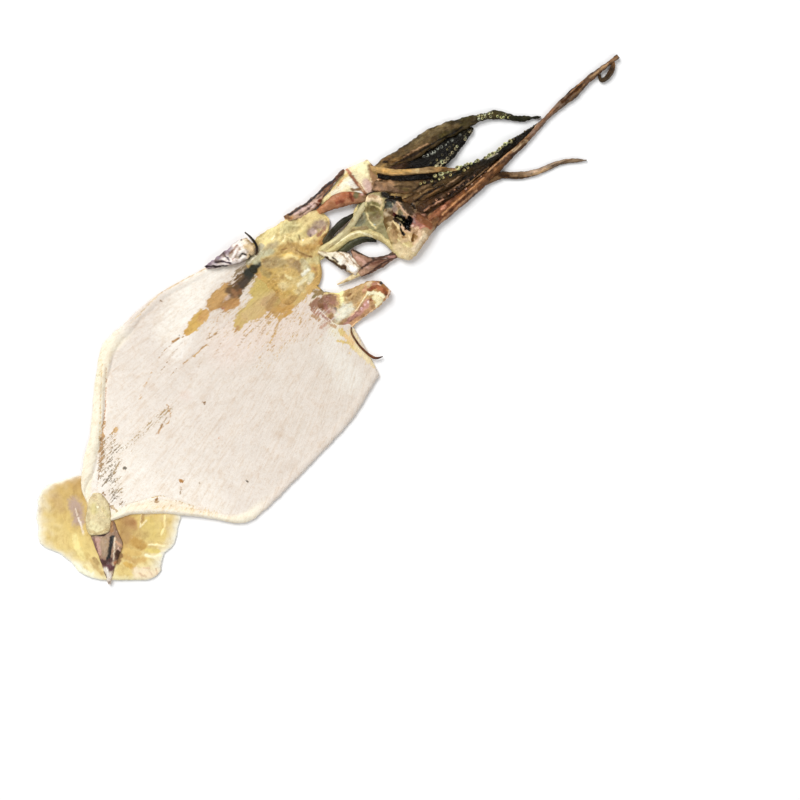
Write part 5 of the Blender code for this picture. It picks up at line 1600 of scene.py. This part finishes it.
def neck():
    skin = Skin()
    lay(skin, NECK_SHEET, sheet_edges, 6, ((200, 168, 102), (202, 170, 104), (220, 198, 136),
        (226, 204, 144)), crinkle=1.3, fine=0.22, ridges=0.1, sink=(12, 3), melt=(-2, 8, 9), ragged=0.8,
        painted_shading=0.45, edge=((206, 172, 112), 0.8, 0.5), marks=NECK_MARKS)
    lay(skin, SKIN_SCRAP, sheet_edges, 4, ((158, 140, 138), (232, 220, 206), (240, 230, 214),
        (232, 208, 160)), crinkle=1.5, fine=0.45, ragged=1.0, painted_shading=0.8, edge=((120, 96, 84), 0.4, 0.8),
        marks=SCRAP_MARKS)
    lay(skin, CHEEK_FLARE, sheet_edges, 6, ((236, 222, 160), (242, 232, 186), (240, 226, 180),
        (246, 234, 178)), crinkle=1, fine=0.08, sink=(3, 4), ragged=0.6, painted_shading=0.25,
        edge=((204, 158, 116), 0.4, 0.5), marks=FLARE_MARKS)
    lay(skin, NECK_CORD, ribbon_edges, 6, ((200, 164, 110), (200, 168, 142), (202, 170, 146),
        (180, 134, 94), (120, 84, 62), (110, 76, 56)), fine=0.3, ridges=0.2, sink=(3, 3), painted_shading=0.7,
        edge=((120, 92, 74), 0.5, 0.7), marks=CORD_MARKS, ragged=0.7)
    lay(skin, CHEEK_MUSCLE, ribbon_edges, 2, ((196, 140, 92), (186, 132, 94), (176, 124, 88),
        (136, 116, 84)), fine=0.25, ridges=0.2, sink=(3, 2), painted_shading=0.5, edge=((120, 76, 50), 0.7, 0.6),
        marks=MUSCLE_MARKS)
    lay(skin, DARK_STRAND, ribbon_edges, 2, ((96, 88, 60), (62, 58, 36), (44, 42, 26), (60, 56, 36)),
        ridges=0.8, sink=(4, 3))
    lay(skin, PALE_STRAND, ribbon_edges, 2, ((212, 196, 140), (218, 206, 158), (208, 196, 150),
        (194, 184, 140)), ridges=0.5, sink=(6, 4), painted_shading=0.5, edge=((160, 144, 100), 0.5, 0.6))
    lay(skin, LOWER_ARC, ribbon_edges, 2, ((206, 190, 132), (212, 198, 140), (218, 202, 146),
        (222, 204, 144)), ridges=0.4, sink=(6, 5), painted_shading=0.5, edge=((166, 148, 98), 0.5, 0.6),
        marks=ARC_MARKS)
    lay(skin, DARK_BAND, ribbon_edges, 2, ((92, 90, 60), (70, 70, 44), (28, 26, 16)), ridges=0.6,
        sink=(3, 3))
    lay(skin, BRIDGE_STRIP, sheet_edges, 4, ((196, 160, 130), (176, 140, 112), (150, 114, 88),
        (132, 96, 72)), crinkle=0.8, fine=0.25, ridges=0.2, ragged=0.7, painted_shading=0.5,
        edge=((96, 66, 48), 0.6, 0.8), marks=BRIDGE_MARKS)
    lay(skin, PAPERY_FOLD, ribbon_edges, 4, ((224, 210, 166), (240, 230, 200), (244, 236, 216),
        (238, 222, 190)), crinkle=2, fine=0.3, ragged=1.0, painted_shading=0.6, edge=((170, 132, 90), 0.4, 0.8),
        marks=PAPERY_MARKS)
    lay(skin, LOOSE_STRAND, ribbon_edges, 2, ((226, 204, 150), (232, 214, 166), (216, 190, 140)),
        ragged=0.3)
    lay(skin, SCRAP_BRISTLE, ribbon_edges, 2, ((70, 56, 40), (46, 38, 28), (40, 32, 22), (90, 64, 40)),
        ragged=0.1)
    return skin


def head():
    skin = Skin()
    lay(skin, EYE_MEMBRANE, sheet_edges, 4, ((206, 190, 136), (160, 150, 106), (150, 142, 98),
        (190, 170, 120)), crinkle=1.5, fine=0.35, sink=(5, 0), ragged=0.6, painted_shading=0.5,
        edge=((140, 124, 84), 0.6, 0.5), marks=EYE_MARKS)
    lay(skin, HEAD_CAPSULE, sheet_edges, 6, ((230, 210, 152), (218, 194, 144), (188, 160, 120),
        (104, 80, 58)), cell=0.5 * FINE_CELL, crinkle=1.8, fine=0.3, sink=(0, 12), ragged=1.0, painted_shading=0.6,
        edge=((160, 128, 84), 0.7, 0.5), marks=HEAD_MARKS)
    lay(skin, FUNNEL_FLAP, sheet_edges, 4, ((226, 204, 160), (216, 186, 128), (206, 172, 112),
        (186, 134, 84)), cell=0.6 * FINE_CELL, crinkle=1.5, fine=0.3, sink=(10, 0), melt=(-4, 10, 7),
        ragged=1.0, painted_shading=0.5, edge=((186, 138, 92), 0.6, 0.6), marks=FLAP_MARKS, dust=(1, 8))
    return skin


def arms():
    skin = Skin()
    dark = (120, 92, 66)
    lay(skin, ARM_WEB, sheet_edges, 6, ((206, 180, 132), (90, 64, 42), (40, 30, 18), (30, 24, 12)),
        ridges=0.8, sink=(4, 3), marks=WEB_MARKS, under=dark)
    lay(skin, ARM_UNDER, ribbon_edges, 2, ((40, 28, 16), (18, 13, 6), (22, 16, 8)), ridges=0.9, under=dark)
    lay(skin, ARM_BLADE, ribbon_edges, 2, ((190, 162, 116), (108, 86, 58), (100, 86, 60), (92, 80, 52),
        (78, 72, 46), (50, 50, 28), (44, 46, 28)), fine=0.25, ridges=0.25, ragged=0.9, sink=(4, 0),
        painted_shading=0.6, edge=((56, 50, 30), 0.8, 0.8), marks=BLADE_MARKS, under=dark)
    lay(skin, ARM_SUCKERED, ribbon_edges, 3, ((44, 32, 16), (28, 22, 8), (26, 22, 8), (36, 32, 14)),
        ridges=0.9, ragged=0.8, painted_shading=0.8, marks=SUCKERED_MARKS, under=dark)
    lay(skin, ARM_FRINGED, ribbon_edges, 2, ((168, 138, 114), (124, 100, 74), (88, 70, 44), (36, 30, 15),
        (30, 26, 12), (64, 52, 32)), fine=0.3, ridges=0.5, ragged=0.6, sink=(6, 0), painted_shading=0.8,
        edge=((44, 34, 18), 0.8, 0.8), marks=FRINGED_MARKS, under=dark)
    lay(skin, ARM_INNER, ribbon_edges, 2, ((110, 84, 54), (104, 80, 50), (84, 64, 38), (40, 32, 16),
        (56, 44, 26)), fine=0.3, ridges=0.6, ragged=0.6, painted_shading=0.9, edge=((34, 26, 12), 0.8, 0.8),
        marks=INNER_MARKS, under=dark)
    lay(skin, ARM_MIDDLE, ribbon_edges, 2, ((104, 74, 48), (86, 62, 38), (76, 56, 32), (46, 34, 16),
        (80, 62, 42)), fine=0.3, ridges=0.6, ragged=0.6, painted_shading=0.9, edge=((40, 28, 16), 0.8, 0.8),
        marks=MIDDLE_MARKS, under=dark)
    lay(skin, ARM_LONG, ribbon_edges, 2, ((206, 168, 124), (124, 80, 56), (118, 84, 56), (128, 92, 60),
        (166, 140, 128), (144, 124, 112), (120, 94, 76), (160, 130, 104)), fine=0.25, ridges=0.5,
        ragged=0.5, sink=(5, 0), painted_shading=0.8, edge=((92, 62, 42), 0.6, 0.7), marks=LONG_MARKS, under=dark)
    lay(skin, TENTACLE_SHORT, ribbon_edges, 2, ((214, 182, 138), (204, 174, 130), (202, 176, 138),
        (180, 154, 114)), fine=0.1, ridges=0.2, ragged=0.25, sink=(3, 0), painted_shading=0.4,
        edge=((140, 104, 64), 0.4, 0.7), marks=SHORT_MARKS, under=dark)
    lay(skin, TIP_HOOK, ribbon_edges, 2, ((130, 98, 70), (92, 76, 56), (84, 68, 50)), ridges=0.6,
        under=dark)
    lay(skin, TENTACLE_THIN, ribbon_edges, 2, ((120, 90, 62), (142, 114, 84), (196, 176, 164),
        (168, 150, 136), (146, 124, 100)), fine=0.15, ridges=0.5, ragged=0.5, painted_shading=0.6,
        edge=((100, 76, 54), 0.5, 0.8), marks=THIN_MARKS, under=dark)
    return skin


def suckers():
    """Rows of small rings with a dark cup, each a little out of place, turned its own way, with a painted
    highlight on one side.
    """
    skin = Skin()
    draw = np.random.default_rng(SUCKER_SEED)
    for table, side_a, side_b, first, last, count, big, small, colour in SUCKER_ROWS:
        for k in range(count):
            if draw.random() < SUCKERS_LOST:
                continue
            f = (k + draw.uniform(-SUCKER_SHIFT, SUCKER_SHIFT)) / (count - 1)
            across = side_a + (side_b - side_a) * f + draw.uniform(-SUCKER_STRAY, SUCKER_STRAY)
            left, right, low, thick = ribbon_edges(table, np.array([first + (last - first) * f]))
            middle = left[0] + (right[0] - left[0]) * across
            full = math.sqrt(max(1 - abs(2 * across - 1) ** 2, 0.05))
            height = max(low[0], 0) + thick[0] * (EDGE_SHARE + (1 - EDGE_SHARE) * full)
            radius = (big + (small - big) * f) * draw.uniform(*SUCKER_SIZES)
            outward = (right[0] - left[0]) / np.hypot(*(right[0] - left[0])) * (2 * across - 1)
            lean = Vector((*(outward + draw.uniform(-SUCKER_LEAN, SUCKER_LEAN, 2)), 1))
            bright = np.minimum(linear(colour) * draw.uniform(*SUCKER_BRIGHTNESS), 0.95)
            # The side of the painted highlight: toward the key light at -X, turned a little at random
            lit = math.pi + draw.uniform(-SUCKER_HIGHLIGHT_TURN, SUCKER_HIGHLIGHT_TURN)
            add_sucker(skin, (middle[0], middle[1], height), radius, lean, bright, lit)
    return skin


def add_sucker(skin, place, radius, lean, colour, lit):
    """One ring with a painted highlight: paler on the side that faces the angle lit."""
    out, height = np.array(SUCKER_PROFILE, float).T
    turn = np.linspace(0, 2 * math.pi, SUCKER_SIDES, endpoint=False)
    ring_out = out[1:-1] * radius
    x = np.concatenate(([0], np.outer(ring_out, np.cos(turn)).ravel(), [0]))
    y = np.concatenate(([0], np.outer(ring_out, np.sin(turn)).ravel(), [0]))
    z = np.concatenate(([height[0]], np.repeat(height[1:-1], SUCKER_SIDES), [height[-1]])) * radius
    turned = np.array(lean.to_track_quat("Z", "Y").to_matrix())
    points = np.stack((x, y, z), 1) @ turned.T + np.array(place)
    points[:, 2] = np.clip(points[:, 2], 0, HIGHEST)
    rings = len(ring_out)
    faces = []
    for i in range(SUCKER_SIDES):
        j = (i + 1) % SUCKER_SIDES
        last = 1 + (rings - 1) * SUCKER_SIDES
        faces.append((0, 1 + i, 1 + j))
        faces.append((len(x) - 1, last + j, last + i))
        for k in range(rings - 1):
            a = 1 + k * SUCKER_SIDES
            b = a + SUCKER_SIDES
            faces.append((a + i, b + i, b + j, a + j))
    # Painted highlight: the rim is paler toward the angle lit
    facing = 0.5 + 0.5 * np.cos(turn - lit)
    pale = np.outer(SUCKER_RIM_AND_HIGHLIGHT, 0.25 + 0.75 * facing**1.5)
    share = np.concatenate(([0.1], pale.ravel(), [0.2]))[:, None]
    tint = linear(SUCKER_CUP) * (1 - share) + colour * share
    skin.add(points, faces, tint, np.zeros(len(x)), tint, points)


class Look:
    """A material's node tree, with a short method for each kind of node."""

    def __init__(self, name, gloss):
        self.material = bpy.data.materials.new(name)
        self.material.use_nodes = True
        self.tree = self.material.node_tree
        self.shader = self.tree.nodes["Principled BSDF"]
        self.shader.inputs["Specular IOR Level"].default_value = gloss

    def node(self, kind, output, inputs, **settings):
        made = self.tree.nodes.new(kind)
        for name, value in settings.items():
            setattr(made, name, value)
        for name, value in inputs.items():
            if isinstance(value, bpy.types.NodeSocket):
                self.tree.links.new(value, made.inputs[name])
            else:
                made.inputs[name].default_value = value
        return made.outputs[output]

    def read(self, attribute, output):
        return self.node("ShaderNodeAttribute", output, {}, attribute_name=attribute)

    def noise(self, vector, wide, long, detail=3.0, roughness=0.55, distortion=0.0):
        """Noise whose hills are wide millimetres across the flow and long millimetres along it."""
        inputs = {0: vector, 1: (1 / wide, 1 / long, 1)}
        place = self.node("ShaderNodeVectorMath", 0, inputs, operation="MULTIPLY")
        inputs = {"Vector": place, "Scale": 1.0, "Detail": detail, "Roughness": roughness}
        return self.node("ShaderNodeTexNoise", 0, {**inputs, "Distortion": distortion})

    def step(self, value, low, high, start=0.0, end=1.0):
        inputs = {"Value": value, "From Min": low, "From Max": high, "To Min": start, "To Max": end}
        return self.node("ShaderNodeMapRange", 0, inputs, interpolation_type="SMOOTHSTEP")

    def sum(self, first, second, factor=1.0):
        """first + second * factor"""
        return self.node("ShaderNodeMath", 0, {0: second, 1: factor, 2: first}, operation="MULTIPLY_ADD")

    def mix(self, share, first, second, blend="MIX"):
        inputs = {0: share, 6: first, 7: second}
        return self.node("ShaderNodeMix", 2, inputs, data_type="RGBA", blend_type=blend)

    def stain(self, base, pattern, low, high, share, colour):
        """The base multiplied by a colour, by up to this share, as the pattern goes from low to high."""
        return self.mix(self.step(pattern, low, high, 0, share), base, colour, "MULTIPLY")

    def bump(self, height, distance):
        return self.node("ShaderNodeBump", 0, {"Height": height, "Distance": distance * MM})

    def finish(self, colour, roughness, normal):
        for name, value in (("Base Color", colour), ("Roughness", roughness), ("Normal", normal)):
            self.tree.links.new(value, self.shader.inputs[name])
        return self.material


def rgba(colour):
    return (*linear(colour).tolist(), 1)


def flesh_look(name, mottle, streak, speckle, bare_roughness, relief):
    """Dried flesh: soft clouds, faint streaks along the flow, pale flecks that are painted glints, and the
    mesh's white bloom.
    """
    look = Look(name, gloss=0.22)
    flow = look.read("flow", "Vector")
    tint = look.read("tint", "Color")
    dust = look.read("dust", "Color")
    cover = look.read("bloom", "Fac")
    brushed = look.noise(flow, 0.9, 8, detail=4, roughness=0.6)
    combed = look.noise(flow, 1.1, 20, detail=3, roughness=0.6)
    hairs = look.noise(flow, 0.7, 7, detail=3, roughness=0.65)
    cloudy = look.noise(flow, 5, 7, detail=4, roughness=0.6, distortion=0.5)
    blotch = look.noise(flow, 1.7, 2.3, detail=3, roughness=0.6)
    grain = look.noise(flow, 0.45, 0.5, detail=2, roughness=0.7)
    crumbs = look.noise(flow, 0.9, 1.2, detail=2, roughness=0.7)

    flesh = look.stain(tint, cloudy, 0.5, 0.7, mottle, rgba((190, 160, 112)))
    flesh = look.stain(flesh, cloudy, 0.48, 0.32, mottle, (1.25, 1.2, 1.1, 1))
    flesh = look.stain(flesh, brushed, 0.5, 0.72, streak, rgba((160, 122, 78)))
    flesh = look.stain(flesh, blotch, 0.52, 0.7, 0.25 * speckle, rgba((196, 160, 110)))
    flesh = look.stain(flesh, blotch, 0.46, 0.3, 0.2 * speckle, (1.3, 1.28, 1.25, 1))
    flesh = look.stain(flesh, grain, 0.42, 0.3, 0.15 * speckle, rgba((176, 136, 90)))
    # Painted glints: pale flecks where grain and clouds are highest
    flecks = look.sum(grain, cloudy, 0.7)
    flesh = look.stain(flesh, flecks, 0.94, 1.06, 0.8 * speckle, (1.6, 1.6, 1.7, 1))

    worn = look.sum(look.sum(look.sum(cover, hairs, 1.4), crumbs, 0.9), combed, 0.4)
    share = look.step(worn, 1.68, 1.92)
    powder = look.stain(dust, hairs, 0.5, 0.7, 0.35, rgba((234, 222, 212)))
    powder = look.stain(powder, combed, 0.5, 0.68, 0.35, rgba((238, 226, 212)))
    powder = look.stain(powder, cloudy, 0.5, 0.7, 0.5, rgba((242, 232, 222)))
    powder = look.stain(powder, cloudy, 0.46, 0.3, 0.5, (1.05, 1.06, 1.08, 1))
    powder = look.stain(powder, blotch, 0.5, 0.7, 0.4, rgba((240, 230, 218)))
    powder = look.stain(powder, grain, 0.52, 0.7, 0.6, rgba((228, 216, 206)))
    colour = look.mix(share, flesh, powder)

    bare = look.step(cloudy, 0.3, 0.7, bare_roughness - 0.1, bare_roughness + 0.1)
    roughness = look.node("ShaderNodeMix", 0, {0: share, 2: bare, 3: 0.82}, data_type="FLOAT")
    height = look.sum(look.sum(look.sum(blotch, grain, 0.35), brushed, 0.4), cloudy, 0.8)
    return look.finish(colour, roughness, look.bump(height, relief))


def dark_look():
    """The arms' dark skin: glossy, in long folds, near black to pinkish brown, with pale flecks that are
    painted glints.
    """
    look = Look("dark skin", gloss=0.12)
    flow = look.read("flow", "Vector")
    tint = look.read("tint", "Color")
    ridge = look.noise(flow, 1.4, 8, detail=3, roughness=0.55, distortion=0.3)
    streak = look.noise(flow, 0.6, 5, detail=3, roughness=0.6)
    patch = look.noise(flow, 3.4, 8, detail=4, distortion=0.6)
    blotch = look.noise(flow, 1.1, 1.7, detail=3, roughness=0.65)
    grain = look.noise(flow, 0.5, 0.7, detail=2, roughness=0.7)
    colour = look.stain(tint, patch, 0.5, 0.7, 0.7, rgba((130, 110, 74)))
    colour = look.stain(colour, patch, 0.48, 0.3, 0.7, (1.45, 1.35, 1.2, 1))
    colour = look.stain(colour, ridge, 0.5, 0.68, 0.35, rgba((110, 88, 60)))
    colour = look.stain(colour, ridge, 0.46, 0.3, 0.35, (1.6, 1.5, 1.4, 1))
    colour = look.stain(colour, streak, 0.52, 0.7, 0.25, rgba((120, 96, 66)))
    colour = look.stain(colour, blotch, 0.44, 0.28, 0.7, (1.7, 1.6, 1.5, 1))
    colour = look.stain(colour, blotch, 0.54, 0.72, 0.5, rgba((130, 104, 74)))
    # Painted glints: pale flecks where the grain is high
    colour = look.mix(look.step(grain, 0.68, 0.78, 0, 0.25), colour, rgba((206, 196, 168)))
    roughness = look.step(patch, 0.3, 0.7, 0.2, 0.36)
    height = look.sum(look.sum(look.sum(ridge, streak, 0.4), blotch, 0.5), patch, 0.6)
    return look.finish(colour, roughness, look.bump(height, 1.1))


def sucker_look():
    look = Look("sucker rings", gloss=0.5)
    flow = look.read("flow", "Vector")
    grain = look.noise(flow, 0.5, 0.5, detail=2)
    colour = look.stain(look.read("tint", "Color"), grain, 0.5, 0.8, 0.6, rgba((120, 96, 60)))
    return look.finish(colour, look.step(grain, 0.2, 0.8, 0.25, 0.5), look.bump(grain, 0.2))


def table_top():
    """The white table: one wide plane just under the squid."""
    bpy.ops.mesh.primitive_plane_add(size=FLOOR_SIZE, location=(*VIEW_TARGET[:2], -FLOOR_DROP))
    floor = bpy.context.object
    floor.name = "floor"
    look = Look("white table", gloss=0.1)
    look.shader.inputs["Base Color"].default_value = FLOOR_COLOUR
    look.shader.inputs["Roughness"].default_value = FLOOR_ROUGHNESS
    floor.data.materials.append(look.material)


def soft_light(name, place, size, watts):
    """A square area light aimed at the squid's middle."""
    lamp = bpy.data.lights.new(name, "AREA")
    lamp.shape = "SQUARE"
    lamp.size = size
    lamp.energy = watts
    thing = bpy.data.objects.new(name, lamp)
    thing.location = place
    toward = Vector(VIEW_TARGET) - Vector(place)
    thing.rotation_euler = toward.to_track_quat("-Z", "Y").to_euler()
    bpy.context.scene.collection.objects.link(thing)


def lights():
    """A large soft key light from the picture's upper left, a weak fill opposite, and a pale sky."""
    soft_light("key light", *KEY_LIGHT)
    soft_light("fill light", *FILL_LIGHT)
    world = bpy.data.worlds.new("studio")
    world.use_nodes = True
    sky = world.node_tree.nodes["Background"]
    sky.inputs["Color"].default_value = SKY_COLOUR
    sky.inputs["Strength"].default_value = SKY_STRENGTH
    bpy.context.scene.world = world


def camera():
    lens = bpy.data.cameras.new("camera")
    lens.lens = LENS_MM
    lens.sensor_width = FILM_MM
    lens.clip_start = NEAREST_SEEN
    thing = bpy.data.objects.new("camera", lens)
    height = VIEW_WIDTH * LENS_MM / FILM_MM
    thing.location = (VIEW_TARGET[0], VIEW_TARGET[1], height)
    thing.rotation_euler = (0, 0, VIEW_TURN)
    bpy.context.scene.collection.objects.link(thing)
    bpy.context.scene.camera = thing


def main():
    bpy.context.scene.view_settings.view_transform = "Standard"
    camera()
    lights()
    table_top()
    bloomed = flesh_look("bloomed flesh", mottle=0.3, streak=0.3, speckle=1, bare_roughness=0.42, relief=0.4)
    amber = flesh_look("amber flesh", mottle=0.4, streak=0.2, speckle=1, bare_roughness=0.3, relief=0.45)
    thin = flesh_look("thin flesh", mottle=0.3, streak=0.1, speckle=0.25, bare_roughness=0.3, relief=0.12)
    dark = dark_look()
    mantle().build("mantle_sheet", bloomed, "dried_flesh", depth=PALE_DEPTH, gain=PALE_GAIN)
    tail().build("tail_fins", thin, "amber_flesh", gain=PALE_GAIN)
    tail_core().build("tail_core", amber, "amber_flesh")
    neck().build("neck_flesh", amber, "amber_flesh")
    head().build("head_flesh", amber, "amber_flesh")
    arms().build("arm_skins", dark, "dark_skin", depth=DARK_DEPTH, gain=DARK_GAIN)
    suckers().build("sucker_rings", sucker_look(), "sucker_rings")


main()
